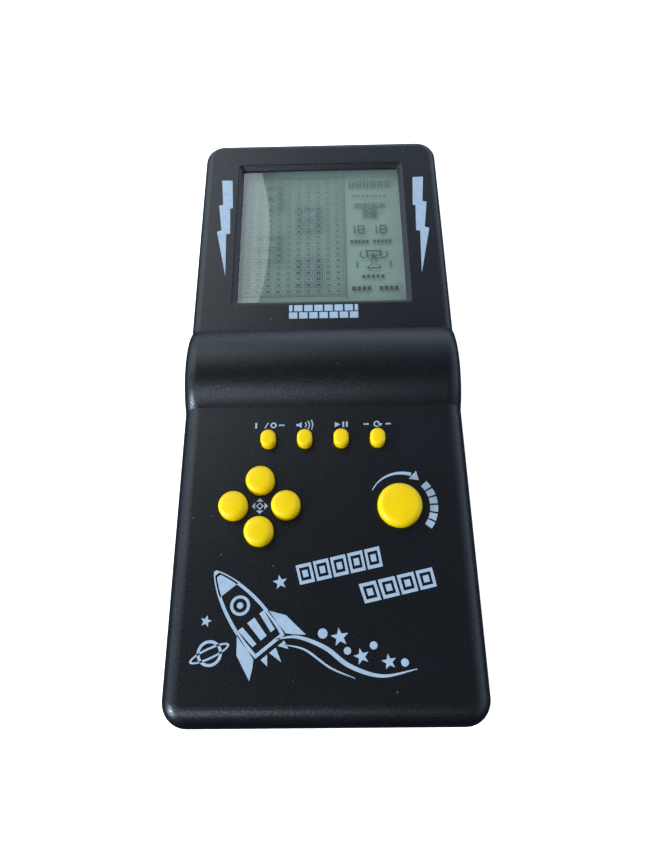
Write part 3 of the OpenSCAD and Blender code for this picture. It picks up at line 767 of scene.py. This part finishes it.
def smooth_line(points, count=60):
    """Even run of points on a natural-looking curve through a few, by Catmull-Rom pieces."""
    p = np.asarray(points, float)
    p = np.vstack([2 * p[0] - p[1], p, 2 * p[-1] - p[-2]])
    u = np.linspace(0, len(points) - 1 - 1e-9, count)
    k = u.astype(int)
    t = (u - k)[:, None]
    a, b, c, d = (p[k + i] for i in range(4))
    return 0.5 * (2 * b + (c - a) * t + (2 * a - 5 * b + 4 * c - d) * t**2 + (3 * b - a - 3 * c + d) * t**3)


def patch(corners, u0, u1, v0, v1):
    """Part of a four-cornered area. Its corners are bottom left, bottom right, top right, top left."""
    a, b, c, d = np.asarray(corners, float)
    u = np.array([u0, u1, u1, u0])[:, None]
    v = np.array([v0, v0, v1, v1])[:, None]
    return (a * (1 - u) + b * u) * (1 - v) + (d * (1 - u) + c * u) * v


def ink_piece(name, plates=(), strokes=(), rings=(), face=KEY_FACE_Z):
    """Ink from solid plates, from (left, right) strokes and from (outer, inner) rings."""
    low, high = face - INK_SINK, face + INK_T
    parts = [prism(p, low, high) for p in plates]
    parts += [band(a, b, low, high, closed=False) for a, b in strokes]
    parts += [band(a, b, low, high) for a, b in rings]
    return finish_piece(mesh_object(name, joined(parts)), ink, "case")


# %% Bolts and the wall under the screen
BOLT = [(-0.4, 39.2), (3.1, 39.3), (2.2, 28.8), (3.5, 28.4), (2.2, 18.1), (3.6, 17.5), (0, 0), (0.6, 16.5)]
BOLT += [(-0.7, 16.7), (-0.2, 27.0), (-1.1, 27.3)]
bolts = [np.array(BOLT) * [side, 1] + tip for side, tip in ((-1, (-30.1, 36.3)), (1, (31.3, 36.2)))]
ink_piece("print_bolts", plates=bolts, face=SCREEN_FACE_Z)
wall = [(-10.2, 19.9), (11.3, 19.9), (11.3, 25.1), (-10.2, 25.1)]
bricks = []
THINNEST = 0.03
for row, shift in ((0, 0), (1, 0.5)):
    for k in range(8):
        u0, u1 = (np.array([k - shift, k + 1 - shift]) / 7).clip(0, 1) + [0.012, -0.012]
        if u1 - u0 > THINNEST:
            bricks.append(patch(wall, u0, u1, 0.5 * row + 0.035, 0.5 * row + 0.465))
ink_piece("print_wall", plates=bricks, face=SCREEN_FACE_Z)


# %% Title: two slanted rows of brick cells
def brick_cells(corners, count, line=0.17):
    """Rings round blocks, side by side in a four-cornered area."""
    rings, plates = [], []
    for k in range(count):
        u0, u1 = (k + 0.06) / count, (k + 0.94) / count
        w = line * (u1 - u0)
        outer = patch(corners, u0, u1, 0.0, 1.0)
        rings.append((outer, patch(corners, u0 + w, u1 - w, line, 1 - line)))
        plates.append(patch(corners, u0 + 1.9 * w, u1 - 1.9 * w, 1.9 * line, 1 - 1.9 * line))
    return rings, plates


row_1 = brick_cells([(-6.4, -59.4), (15.3, -54.8), (14.5, -49.6), (-7.6, -54.5)], 5)
row_2 = brick_cells([(9.9, -64.2), (28.7, -60.0), (27.8, -55.2), (8.4, -59.4)], 4)
ink_piece("print_title", rings=row_1[0] + row_2[0], plates=row_1[1] + row_2[1])


# %% Rocket, in its own axes: s runs from the tail to the nose, t across
ROCKET_AT = np.array([-13.4, -74.2])
ROCKET_TURN = 128.0


def on_rocket(points):
    """Points (s, t) put on the face."""
    a = math.radians(ROCKET_TURN)
    along, across = np.array([math.cos(a), math.sin(a)]), np.array([-math.sin(a), math.cos(a)])
    s, t = np.asarray(points, float).T
    return ROCKET_AT + s[:, None] * along + t[:, None] * across


def hull_line(first, last, inset, count=30):
    """Outline of the hull between two stations: half width 4.9 * (1 - ((s - 6) / 18)^2)^0.8, less inset."""
    s = np.linspace(first, last, count)
    half = np.maximum(4.9 * np.maximum(1 - ((s - 6) / 18) ** 2, 0) ** 0.8 - inset, 0.02)
    return np.vstack([np.column_stack([s, -half]), np.column_stack([s, half])[::-1]])


LINE = 0.85
fin = np.array([(7.5, 4.6), (3.5, 7.6), (-3.2, 8.6), (-1.2, 6.2), (0.2, 4.9), (1.0, 4.9)])
flames = [
    [(-1.0, t - 1.0), (-1.0, t + 1.0), (-1.6 - reach, t * 1.25)]
    for t, reach in ((-2.6, 1.6), (0, 3.0), (2.6, 1.6))
]
rings = [
    (on_rocket(hull_line(0, 23.6, 0)), on_rocket(hull_line(LINE, 22.0, LINE))),
    (on_rocket(circle((12.6, 0), 2.5)), on_rocket(circle((12.6, 0), 1.75))),
]
plates = [
    on_rocket(hull_line(17.4, 22.6, 0.4)),
    on_rocket(circle((12.6, 0), 0.8, 20)),
    on_rocket(fin),
    on_rocket(fin * [1, -1]),
    on_rocket([(2.6, -3.4), (8.0, -4.0), (8.0, -2.6), (2.6, -2.2)]),
    on_rocket([(2.6, -0.9), (8.0, -1.1), (8.0, 1.1), (2.6, 0.9)]),
    on_rocket([(2.6, 2.2), (8.0, 2.6), (8.0, 4.0), (2.6, 3.4)]),
]
plates += [on_rocket(f) for f in flames]
# A small planet with a ring, and two stars, fill the corners beside it
PLANET = np.array([-28.2, -75.6])
PLANET_TILT = math.radians(24)
c, s = math.cos(PLANET_TILT), math.sin(PLANET_TILT)
lean = np.array([[c, s], [-s, c]])
orbit = circle((0, 0), 1.0, 60)
rings.append((circle(PLANET, 3.1), circle(PLANET, 2.4)))
rings.append(((orbit * [5.2, 1.35]) @ lean + PLANET, (orbit * [4.6, 0.85]) @ lean + PLANET))
plates += [star((-11.2, -58.6), 1.9, 10), star((-29.5, -68.0), 1.5, -12)]
ink_piece("print_rocket", plates=plates, rings=rings)

# %% Trail
upper = smooth_line([(-12.0, -72.4), (-6.7, -72.0), (0, -74.5), (6, -78.8), (13.7, -81.1), (22.2, -79.6)])
lower = smooth_line([(-10.0, -73.7), (-4.8, -75.0), (1.2, -79.1), (7.2, -81.6)])
bulge = np.sin(np.linspace(0.06, math.pi - 0.06, len(upper)))
trail = [stroke(upper, 0.15 + 0.95 * bulge), stroke(lower, 0.12 + 0.4 * bulge)]
DOTS = [(-0.5, -71.2, 1.2), (5.5, -75.3, 0.9), (11.9, -74.1, 0.95), (19.3, -78.1, 0.95)]
STARS = [(3.7, -72.1, 2.3, 8), (8.9, -76.6, 2.0, 14), (15.5, -77.9, 1.9, 10)]
dots = [circle((x, y), r) for x, y, r in DOTS]
stars = [star((x, y), r, turn) for x, y, r, turn in STARS]
ink_piece("print_trail", plates=dots + stars, strokes=trail)

# %% Marks round the keys
pad = np.array([-17.0, -38.45])
wedge = np.array([(1.25, -0.95), (2.15, 0), (1.25, 0.95)])
marks = [pad + wedge @ np.array([[c, s], [-s, c]]) for c, s in ((1, 0), (0, 1), (-1, 0), (0, -1))]
ink_piece("print_pad_mark", plates=marks, rings=[(circle(pad, 1.05, 4), circle(pad, 0.62, 4))])

turn_mid = np.array([20.2, -38.9])
sweep = np.linspace(0, 1, 32)
turn_line = arc(turn_mid, 8.35 + 1.15 * sweep, 148, 68)
arrow_head = [arc(turn_mid, r, a, a, 1)[0] for r, a in ((8.1, 69), (9.05, 52), (11.0, 63))]
ink_piece("print_turn_arrow", plates=[arrow_head], strokes=[stroke(turn_line, 0.2 + 0.75 * sweep)])
TILE_OUT, TILE_IN, TILE_SWEEP, TILE_PITCH = 10.2, 8.1, 11, 13.8
tile_starts = 42 - TILE_PITCH * np.arange(6)
tiles = [[arc(turn_mid, r, a, a - TILE_SWEEP, 8) for r in (TILE_OUT, TILE_IN)] for a in tile_starts]
ink_piece("print_turn_label", strokes=tiles)


# %% A symbol over each small key
ICON_Y, ICON_H = -14.95, 1.7


def bar(x, w, h, lean=0.0):
    """Upright bar about (x, 0), whose top leans to the right."""
    low, high = x - w / 2, x + w / 2
    return [(low, -h / 2), (high, -h / 2), (high + lean, h / 2), (low + lean, h / 2)]


def over(key, outline):
    """Outline about the origin, moved to its place over a small key."""
    return np.asarray(outline, float) + [key_shape(key)[0][0], ICON_Y]


SYMBOLS = {
    "power": [bar(-3.6, 0.55, ICON_H), bar(-1.1, 0.35, ICON_H, 0.9), bar(3.6, 1.6, 0.5)],
    "sound": [[(-2.4, -0.35), (-1.7, -0.35), (-0.9, -0.95), (-0.9, 0.95), (-1.7, 0.35), (-2.4, 0.35)]],
    "start": [[(-1.7, -0.85), (-0.1, 0), (-1.7, 0.85)], bar(0.7, 0.5, ICON_H), bar(1.7, 0.5, ICON_H)],
    "reset": [[(0.3, 0.15), (1.6, 0.15), (0.95, -0.75)], bar(-3.0, 1.5, 0.5), bar(3.2, 1.5, 0.5)],
}
WAVES = ((1.0, 50), (1.9, 42), (2.8, 32))
waves = [stroke(over("sound", arc((-0.6, 0), r, -a, a, 10)), 0.35) for r, a in WAVES]
loop_arrow = stroke(over("reset", arc((0, 0), 0.75, 300, 20, 20)), 0.4)
ink_piece(
    "print_icons",
    plates=[over(key, outline) for key, outlines in SYMBOLS.items() for outline in outlines],
    rings=[[over("power", circle((1.3, 0), r, 24)) for r in (0.9, 0.45)]],
    strokes=[*waves, loop_arrow],
)

# %% [markdown]
# ## The liquid crystal display
# Dark marks hang in a thin layer over a grey-green mirror, so each one drops a soft shadow on the mirror
# beside it. The glass here doesn't bend light, so the layer sits 0.7 mm over the field, which is how deep
# it looks. Marks that are off still show faintly, and all of them fade toward the top, where the view is
# most oblique.

# %% Display materials
FIELD_LIFT = 0.05
MARK_LIFT = 0.7
FIELD_Z = rear_glass_high[2] + FIELD_LIFT
MARK_Z = FIELD_Z + MARK_LIFT
MARK_T = 0.03
FIELD_COLOUR = "#93a08c"
MARK_COLOUR = "#1c2430"


def faded(tree, place, shader, at_foot, at_top):
    """Base colour between the field's and the marks', by a share that falls with Y over the display."""
    split = add_node(tree, "ShaderNodeSeparateXYZ", {"Vector": place})
    low, high = (window_mid[1] - window_half[1]) * MM, (window_mid[1] + window_half[1]) * MM
    share = add_node(
        tree, "ShaderNodeMapRange", {"Value": split.outputs["Y"], **span(low, high, at_foot, at_top)}
    )
    mix = add_node(
        tree,
        "ShaderNodeMix",
        {"Factor": share.outputs["Result"], 6: linear(FIELD_COLOUR), 7: linear(MARK_COLOUR)},
        data_type="RGBA",
    )
    tree.links.new(mix.outputs[2], shader.inputs["Base Color"])


# Brushed foil seen through liquid crystal: an even grey-green with a faint sparkle, drawn coarser than it is
field_mat, tree, shader, place = new_material("lcd_grey_green_mirror", FIELD_COLOUR, Roughness=0.55)
mottled(tree, shader, place, ("#919e8a", "#95a28e"), size_mm=9.0)
sparkle = add_node(tree, "ShaderNodeTexNoise", {"Vector": place, "Scale": per_mm(0.15), "Detail": 1.0})
add_bump(tree, shader, sparkle.outputs["Fac"], depth_mm=0.01, strength=0.4)

# Marks that are on: near black at the foot, paler toward the top
mark_on, tree, shader, place = new_material("lcd_mark_on", MARK_COLOUR, Roughness=0.6)
faded(tree, place, shader, at_foot=0.95, at_top=0.6)
# Marks that are off: the same, but fainter
mark_off, tree, shader, place = new_material("lcd_mark_off", MARK_COLOUR, Roughness=0.6)
faded(tree, place, shader, at_foot=0.75, at_top=0.4)


# %% Marks of the display
def display_piece(name, parts, material, casts_shadow=True):
    """One piece of the display out of its parts. Faint marks cast no shadow on the field."""
    piece = mesh_object(name, joined(parts))
    piece.visible_shadow = casts_shadow
    return finish_piece(piece, material, "case")


def slab(x0, x1, y0, y1):
    """Mark with straight sides."""
    return prism([(x0, y0), (x1, y0), (x1, y1), (x0, y1)], MARK_Z, MARK_Z + MARK_T)


def frame_slab(x0, x1, y0, y1, line):
    """Rectangular ring."""
    outer = np.array([(x0, y0), (x1, y0), (x1, y1), (x0, y1)])
    inner = outer + line * np.array([(1, 1), (-1, 1), (-1, -1), (1, -1)])
    return band(outer, inner, MARK_Z, MARK_Z + MARK_T)


# %% Field of the display
FIELD_MARGIN = 0.6
reach = (glass_high[:2] - glass_low[:2]) / 2 - FIELD_MARGIN
middle_of_glass = (glass_high[:2] + glass_low[:2]) / 2
field_loop = stack_of([round_rectangle(reach, 0.5)] * 2, [FIELD_Z - 0.03, FIELD_Z], middle_of_glass)
display_piece("lcd_field", [loft(field_loop)], field_mat)

# %% Play area: 10 by 20 cells, each a ring round a block
COLS, ROWS = 10, 20
CELL_X, CELL_Y = 3.2, 2.38
GRID_X, GRID_Y = -23.4, 77.65
# Cells that are on: four blocky figures
LIT = {(r, c) for r in (10, 12, 14) for c in (1, 2, 3)} | {(11, 3), (13, 3)}
LIT |= {(r, c) for r in (14, 16, 18) for c in (5, 6, 7)} | {(15, 5), (15, 7), (17, 7)}
LIT |= {(r, c) for r in (5, 7, 9) for c in (5, 6, 7)} | {(6, 5), (6, 7), (8, 5), (8, 7)}
LIT |= {(r, c) for r in (1, 3, 5) for c in (2, 3)} | {(2, 3), (4, 3)}


RING_X, RING_Y, RING_LINE = 1.35, 0.97, 0.17
BLOCK_X, BLOCK_Y = 0.7, 0.42


def cell(row, col):
    """Ring and block of one cell, rows counted from the top."""
    x, y = GRID_X + CELL_X * col, GRID_Y - CELL_Y * row
    ring = frame_slab(x - RING_X, x + RING_X, y - RING_Y, y + RING_Y, RING_LINE)
    return [ring, slab(x - BLOCK_X, x + BLOCK_X, y - BLOCK_Y, y + BLOCK_Y)]


grid = {(r, c): cell(r, c) for r in range(ROWS) for c in range(COLS)}
lit_parts = [p for key in sorted(LIT) for p in grid[key]]
faint_parts = [p for key in sorted(set(grid) - LIT) for p in grid[key]]
display_piece("lcd_cells_on", lit_parts, mark_on)
display_piece("lcd_cells_off", faint_parts, mark_off, casts_shadow=False)
border = [frame_slab(-25.9, 7.6, 30.4, 79.6, 0.2), frame_slab(-25.4, 7.1, 30.9, 79.1, 0.16)]
border.append(slab(7.85, 8.1, 29.4, 81.5))
display_piece("lcd_border", border, mark_on, casts_shadow=False)


# %% Counters and symbols beside it
def seven_segments(x, y, w, h, t=0.42):
    """The seven bars of a counter's digit, w by h, from its lower left corner."""
    g = 0.12
    bars = [slab(x + t * 0.6, x + w - t * 0.6, yy, yy + t) for yy in (y, y + (h - t) / 2, y + h - t)]
    for xx in (x, x + w - t):
        bars.append(slab(xx, xx + t, y + t * 0.6, y + h / 2 - g))
        bars.append(slab(xx, xx + t, y + h / 2 + g, y + h - t * 0.6))
    return bars


def row_of(count, x, pitch, width, low, high):
    """Even row of blocks, which stands for a word."""
    return [slab(x + pitch * k, x + pitch * k + width, low, high) for k in range(count)]


on, off = [], row_of(8, 10.6, 1.5, 1.0, 70.5, 71.5)
for k in range(6):
    on += seven_segments(9.5 + 2.45 * k, 74.4, 1.75, 3.0, 0.36)
NEXT_PITCH = 2.68
next_cells = [(11.1 + NEXT_PITCH * k, 65.85) for k in range(4)]
next_cells += [(13.75 + NEXT_PITCH * k, 61.4 + 2.2 * j) for k in range(2) for j in range(2)]
for x, y in next_cells:
    on += [frame_slab(x, x + 2.4, y, y + 2.0, RING_LINE), slab(x + 0.6, x + 1.8, y + 0.55, y + 1.45)]
for x in (12.0, 19.2):
    on += [slab(x - 1.3, x - 0.85, y, y + 1.5) for y in (54.9, 56.8)]
    on += seven_segments(x, 54.8, 2.3, 3.6, 0.45)
on += row_of(5, 9.5, 1.25, 0.95, 51.1, 52.4) + row_of(5, 16.9, 1.25, 0.95, 51.1, 52.4)
on += row_of(5, 12.9, 1.5, 1.0, 37.2, 38.4)
on += row_of(4, 9.6, 1.62, 1.15, 32.5, 34.0) + row_of(4, 18.2, 1.62, 1.15, 32.5, 34.0)

# %% A cup with two handles
CUP_MID = np.array([16.9, 44.2])
cup = np.array([(-2.6, 3.9), (2.6, 3.9), (2.3, 1.4), (0.7, -0.6), (0.7, -1.8), (2.2, -2.5), (2.2, -3.4)])
cup = np.vstack([cup, cup[::-1] * [-1, 1]])[1:-1]
on.append(band(cup + CUP_MID, cup * [0.78, 0.86] + CUP_MID, MARK_Z, MARK_Z + MARK_T))
on.append(prism(star((0, 1.4), 1.5) + CUP_MID, MARK_Z, MARK_Z + MARK_T))
for side, start, stop in ((-1, 120, 300), (1, 60, -120)):
    handle = [arc(CUP_MID + [side * 3.1, 2.2], r, start, stop, 14) for r in (1.5, 1.1)]
    on.append(band(*handle, MARK_Z, MARK_Z + MARK_T, closed=False))
    tick = CUP_MID[0] + side * 5.4
    off.append(slab(tick - 0.35, tick + 0.35, 41.2, 43.8))
display_piece("lcd_counters", on, mark_on)
display_piece("lcd_counters_off", off, mark_off, casts_shadow=False)

# %% [markdown]
# ## Clear parts
# The lens, the polariser and the glass let light straight through and mirror a little of it, more so at a
# low angle, as acrylic and glass do.


# %% Clear materials
def clear(name, tint, ior, roughness, haze=0.0):
    """Transparent, with a Fresnel share of mirror and a trace of haze."""
    material = bpy.data.materials.new(name)
    material.use_nodes = True
    tree = material.node_tree
    tree.nodes.remove(tree.nodes["Principled BSDF"])
    through = add_node(tree, "ShaderNodeBsdfTransparent", {"Color": linear(tint)})
    dust = add_node(tree, "ShaderNodeBsdfDiffuse", {"Color": linear("#c8ccd0")})
    layers = {0: haze, 1: through.outputs["BSDF"], 2: dust.outputs["BSDF"]}
    veiled = add_node(tree, "ShaderNodeMixShader", layers)
    mirror = add_node(tree, "ShaderNodeBsdfGlossy", {"Color": (1, 1, 1, 1), "Roughness": roughness})
    fresnel = add_node(tree, "ShaderNodeFresnel", {"IOR": ior})
    # Only a surface met from outside mirrors, as light that goes straight through has no critical angle
    inside = add_node(tree, "ShaderNodeNewGeometry").outputs["Backfacing"]
    outside = add_node(tree, "ShaderNodeMath", {0: 1.0, 1: inside}, operation="SUBTRACT")
    share = add_node(
        tree, "ShaderNodeMath", {0: fresnel.outputs["Fac"], 1: outside.outputs[0]}, operation="MULTIPLY"
    )
    layers = {0: share.outputs[0], 1: veiled.outputs["Shader"], 2: mirror.outputs["BSDF"]}
    both = add_node(tree, "ShaderNodeMixShader", layers)
    tree.links.new(both.outputs["Shader"], tree.nodes["Material Output"].inputs["Surface"])
    return material


# Moulded acrylic: glossy, almost colourless, with the faintest veil of dust
acrylic = clear("clear_acrylic", "#fafcfc", ior=1.6, roughness=0.015, haze=0.006)
# Polarising film under the lens: it dims a little and hardly mirrors
film = clear("polarising_film", "#f6f8f6", ior=1.02, roughness=0.1)
# Thin glass bonded to its neighbours, so its faces hardly mirror
glass = clear("thin_glass", "#fcfefc", ior=1.02, roughness=0.02)

# %% Laminate: the film is bonded to the glass, so the two are one clear slab
film_high = box_mm("lcd_polariser")[1][2]
slab_loops = stack_of([round_rectangle(reach + 0.6, 0.4)] * 2, [glass_low[2], film_high], middle_of_glass)
laminate = mesh_object("lcd_laminate", loft(slab_loops))
finish_piece(laminate, film, "case", replaces=["lcd_polariser", "lcd_front_glass"])

# %% [markdown]
# ## Everything inside the case
# A material for each, by what it's made of: nickelled spring steel, brass, phenolic board, conductive
# rubber, carbon pills, epoxy, the cells' printed jackets and the leads' PVC. They show when the door is
# open or the case is taken apart. The grain is drawn coarser than the real one, so that it shows.


# %% Plastics, rubbers and board
def simple(name, colours, size_mm, roughness, grain_mm=0.3, depth_mm=0.01, **sockets):
    """Material with a drift between two tones and a fine grain."""
    material, tree, shader, place = new_material(name, colours[0], Roughness=roughness, **sockets)
    mottled(tree, shader, place, colours, size_mm)
    grain = add_node(tree, "ShaderNodeTexNoise", {"Vector": place, "Scale": per_mm(grain_mm), "Detail": 3.0})
    add_bump(tree, shader, grain.outputs["Fac"], depth_mm, strength=0.6)
    return material


def striped(name, colours, pitch_mm, axis, roughness):
    """Material with even stripes across an axis. A Wave node of scale k has one every 2 pi / 20 k."""
    material, tree, shader, place = new_material(name, colours[0], Roughness=roughness)
    waves = add_node(
        tree,
        "ShaderNodeTexWave",
        {"Vector": place, "Scale": 2 * math.pi / (20 * pitch_mm * MM), "Distortion": 0.0},
        wave_type="BANDS",
        bands_direction=axis,
    )
    ramp = add_node(tree, "ShaderNodeValToRGB", {"Fac": waves.outputs["Fac"]})
    set_stops(ramp, [(0.45, colours[0]), (0.55, colours[1])])
    tree.links.new(ramp.outputs["Color"], shader.inputs["Base Color"])
    return material


def metal(name, colours, roughness, brushed_mm=0.08):
    """Metal with fine drawn lines along X and a drift of tone."""
    material, tree, shader, place = new_material(name, colours[0], Roughness=roughness, Metallic=1.0)
    mottled(tree, shader, place, colours, size_mm=5.0)
    stretch = add_node(tree, "ShaderNodeMapping", {"Vector": place, "Scale": (0.05, 1.0, 1.0)})
    drawn = {"Vector": stretch.outputs["Vector"], "Scale": per_mm(brushed_mm), "Detail": 2.0}
    lines = add_node(tree, "ShaderNodeTexNoise", drawn)
    add_bump(tree, shader, lines.outputs["Fac"], depth_mm=0.004, strength=0.5)
    return material


def cell_jacket():
    """Zinc-carbon cell: bare steel ends and a printed jacket with a broad band, by distance along X."""
    material, tree, shader, place = new_material("cell_jacket", "#2d5c3a", Roughness=0.32)
    split = add_node(tree, "ShaderNodeSeparateXYZ", {"Vector": place})
    along = add_node(
        tree, "ShaderNodeMapRange", {"Value": split.outputs["X"], **span(-0.0245, 0.0245, 0.0, 1.0)}
    )
    bands = add_node(tree, "ShaderNodeValToRGB", {"Fac": along.outputs["Result"]})
    bands.color_ramp.interpolation = "CONSTANT"
    steel, green, cream, gold = "#b9bbbd", "#2d5c3a", "#d7d9d2", "#c9a53a"
    set_stops(bands, [(0.0, steel), (0.03, green), (0.3, cream), (0.33, green), (0.7, gold), (0.96, steel)])
    tree.links.new(bands.outputs["Color"], shader.inputs["Base Color"])
    return material


# %% A finish for every CAD node
black_pvc = simple("black_pvc", ("#101011", "#18181a"), 2.0, 0.4)
FINISHES = [
    # The case, the keys and the clear parts, as above
    (case_abs, ["front_shell", "rear_shell", "battery_door"]),
    (yellow, ["key_" + k for k in KEYS]),
    (acrylic, ["window_lens"]),
    (film, ["lcd_polariser"]),
    (glass, ["lcd_front_glass", "lcd_rear_glass"]),
    # Rolled foil: a soft silver mirror
    (metal("silver_mirror_foil", ("#c4c8c4", "#ccd0cc"), 0.3), ["lcd_reflector"]),
    # Moulded polystyrene: plain satin white
    (simple("white_carrier_plastic", ("#d8d8d4", "#dededa"), 8.0, 0.5), ["lcd_carrier"]),
    # Layered rubber: fine dark and pink stripes, matt
    (
        striped("zebra_rubber", ("#2a2a2c", "#e6a9a0"), pitch_mm=0.5, axis="X", roughness=0.6),
        ["zebra_strip_lower", "zebra_strip_upper"],
    ),
    # Pressed paper and resin: warm brown with a visible fibre
    (
        simple("phenolic_board", ("#8a5a2c", "#9a6632"), 3.0, 0.45, grain_mm=0.5, depth_mm=0.02),
        ["lcd_board", "key_board"],
    ),
    # Screen-printed carbon ink: dull black
    (simple("printed_carbon", ("#141415", "#1c1c1e"), 1.0, 0.7), ["key_contacts"]),
    # A drop of poured epoxy: wet-looking black
    (simple("black_epoxy", ("#0d0d0e", "#131315"), 2.0, 0.2), ["chip_blob"]),
    # Buff resin with painted colour rings
    (
        striped("resistor_rings", ("#c9a878", "#7a3b22"), pitch_mm=0.8, axis="X", roughness=0.4),
        ["board_resistors"],
    ),
    # Dipped ceramic: glossy tan drops
    (simple("tan_ceramic_dip", ("#b06a24", "#be7a30"), 1.5, 0.35), ["board_capacitors"]),
    # Extruded PVC ribbon: grey, ridged once for each wire
    (
        striped("grey_ribbon", ("#9a9c9e", "#7d7f82"), pitch_mm=1.0, axis="X", roughness=0.5),
        ["ribbon_cable"],
    ),
    # Moulded silicone: milky grey, light goes a little way in
    (
        simple("silicone_membrane", ("#c9ccc8", "#d2d5d1"), 4.0, 0.55, Subsurface_Weight=0.1),
        ["keypad_membrane"],
    ),
    # Carbon-filled rubber: matt near-black
    (simple("conductive_pill", ("#1a1a1b", "#232325"), 0.8, 0.65), ["pill_" + k for k in KEYS]),
    # Stamped brass: yellow metal with fine rolling lines
    (metal("brass_disc", ("#c9a24c", "#d1ab57"), 0.25), ["buzzer_plate"]),
    # Fired ceramic with a silvered face: pale and smooth
    (simple("silvered_ceramic", ("#d9d6cc", "#e2dfd6"), 2.0, 0.35), ["buzzer_ceramic"]),
    # Extruded PVC on the leads: glossy, soft-looking
    (black_pvc, ["buzzer_leads", "battery_lead_black"]),
    (simple("red_pvc", ("#a81c18", "#b5231d"), 2.0, 0.4), ["battery_lead_red"]),
    # Nickel on drawn spring steel: warm grey, with lines along the wire
    (
        metal("nickelled_steel", ("#b7b4ab", "#c3c0b8"), 0.28),
        ["contact_plate_positive", "contact_plate_negative", "contact_plate_bridge"]
        + ["contact_spring_left", "contact_spring_right"],
    ),
    # Printed foil round each cell: glossy green, cream and gold
    (cell_jacket(), ["cell_lower", "cell_upper"]),
    # Zinc plate on steel screws: bright cool grey
    (
        metal("zinc_plated_screw", ("#a7a8a6", "#b4b3ae"), 0.33),
        ["case_screws", "lcd_board_screws", "key_board_screws"],
    ),
]
material_of = {node: material for material, nodes in FINISHES for node in nodes}
for name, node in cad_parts.items():
    node.data.materials.clear()
    node.data.materials.append(material_of[name])
    shade(node.data)
print(len(material_of), "nodes have a material")

# %% [markdown]
# ## Floor, lights and sky
# A pale floor reads as white. Three round lights stand over it, and a sky that is bright low down and dark
# overhead gives the black faces their slow change of tone.


# %% Floor
FLOOR_HALF = 3.0
FLOOR_GAP = 0.0002
floor_z = cad_box[0][2]
corners = np.array([(-1, -1), (1, -1), (1, 1), (-1, 1)]) * FLOOR_HALF
floor_mesh = bpy.data.meshes.new("floor")
floor_points = np.column_stack([corners, np.full(4, floor_z - FLOOR_GAP)])
floor_mesh.from_pydata(floor_points.tolist(), [], [(0, 1, 2, 3)])
floor = new_object("floor", floor_mesh)
# White card: matt, with the faintest mottle, and lit enough to hide shadows on it
white, tree, shader, place = new_material("pale_floor", "#fbfbfb", Roughness=0.8)
mottled(tree, shader, place, ("#fafafa", "#fcfcfc"), size_mm=40.0)
shader.inputs["Emission Color"].default_value = (1, 1, 1, 1)
shader.inputs["Emission Strength"].default_value = 0.8
floor_mesh.materials.append(white)
# The floor is a backdrop, and throws no light up on the black case
floor.visible_glossy = False
floor.visible_diffuse = False


# %% Lights
def round_light(name, place, target, size, power, colour):
    """Round area light that faces its target. size is in metres and power in watts."""
    data = bpy.data.lights.new(name, "AREA")
    data.shape = "DISK"
    data.size = size
    data.energy = power
    data.color = colour
    lamp = new_object(name, data)
    lamp.location = place
    lamp.rotation_euler = (Vector(target) - Vector(place)).to_track_quat("-Z", "Y").to_euler()


COOL, COOLER, FAINTLY_COOL = (0.84, 0.94, 1.08), (0.76, 0.95, 1.2), (0.95, 1.02, 1.06)
# Low on the left: it puts the sheen on the left edge and the lower left corner
round_light("key_left", (-0.83, -0.53, 0.29), (0, 0, 0.01), size=0.26, power=11.0, colour=COOLER)
# High over the near side: it lights the hump's front slope
round_light("viewer_side", (-0.3, -0.64, 0.82), (0, 0, 0.02), size=0.5, power=3.4, colour=COOL)
# Wide, at the back left, facing straight down: its edge is the curved boundary that the lens mirrors
DISK_X, DISK_Y, DISK_Z = -0.584, 0.548, 0.6
disk_foot = (DISK_X, DISK_Y, 0)
round_light("overhead_disk", (DISK_X, DISK_Y, DISK_Z), disk_foot, size=1.0, power=5.3, colour=FAINTLY_COOL)

# %% Sky
world = bpy.data.worlds.new("sky")
world.use_nodes = True
sky = world.node_tree
towards = add_node(sky, "ShaderNodeTexCoord").outputs["Generated"]
way = add_node(sky, "ShaderNodeSeparateXYZ", {"Vector": towards})
# Bright low down and dark overhead, dark towards -Y, and dark under the horizon
by_height = add_node(sky, "ShaderNodeMapRange", {"Value": way.outputs["Z"], **span(0.2, 0.98, 1.7, 0.07)})
by_side = add_node(sky, "ShaderNodeMapRange", {"Value": way.outputs["Y"], **span(-0.9, -0.2, 0.06, 1.0)})
over_table = add_node(sky, "ShaderNodeMapRange", {"Value": way.outputs["Z"], **span(-0.05, 0.0, 0.05, 1.0)})
both = {0: by_height.outputs["Result"], 1: by_side.outputs["Result"]}
part = add_node(sky, "ShaderNodeMath", both, operation="MULTIPLY")
both = {0: part.outputs[0], 1: over_table.outputs["Result"]}
level = add_node(sky, "ShaderNodeMath", both, operation="MULTIPLY")
backdrop = sky.nodes["Background"]
backdrop.inputs["Color"].default_value = (0.76, 0.93, 1.22, 1.0)
sky.links.new(level.outputs[0], backdrop.inputs["Strength"])
bpy.context.scene.world = world
bpy.context.scene.view_settings.view_transform = "Standard"

# %% [markdown]
# ## Size
# The box round the CAD parts as they were imported, in millimetres.

print("CAD box", [[round(v / MM, 2) for v in c] for c in cad_box])
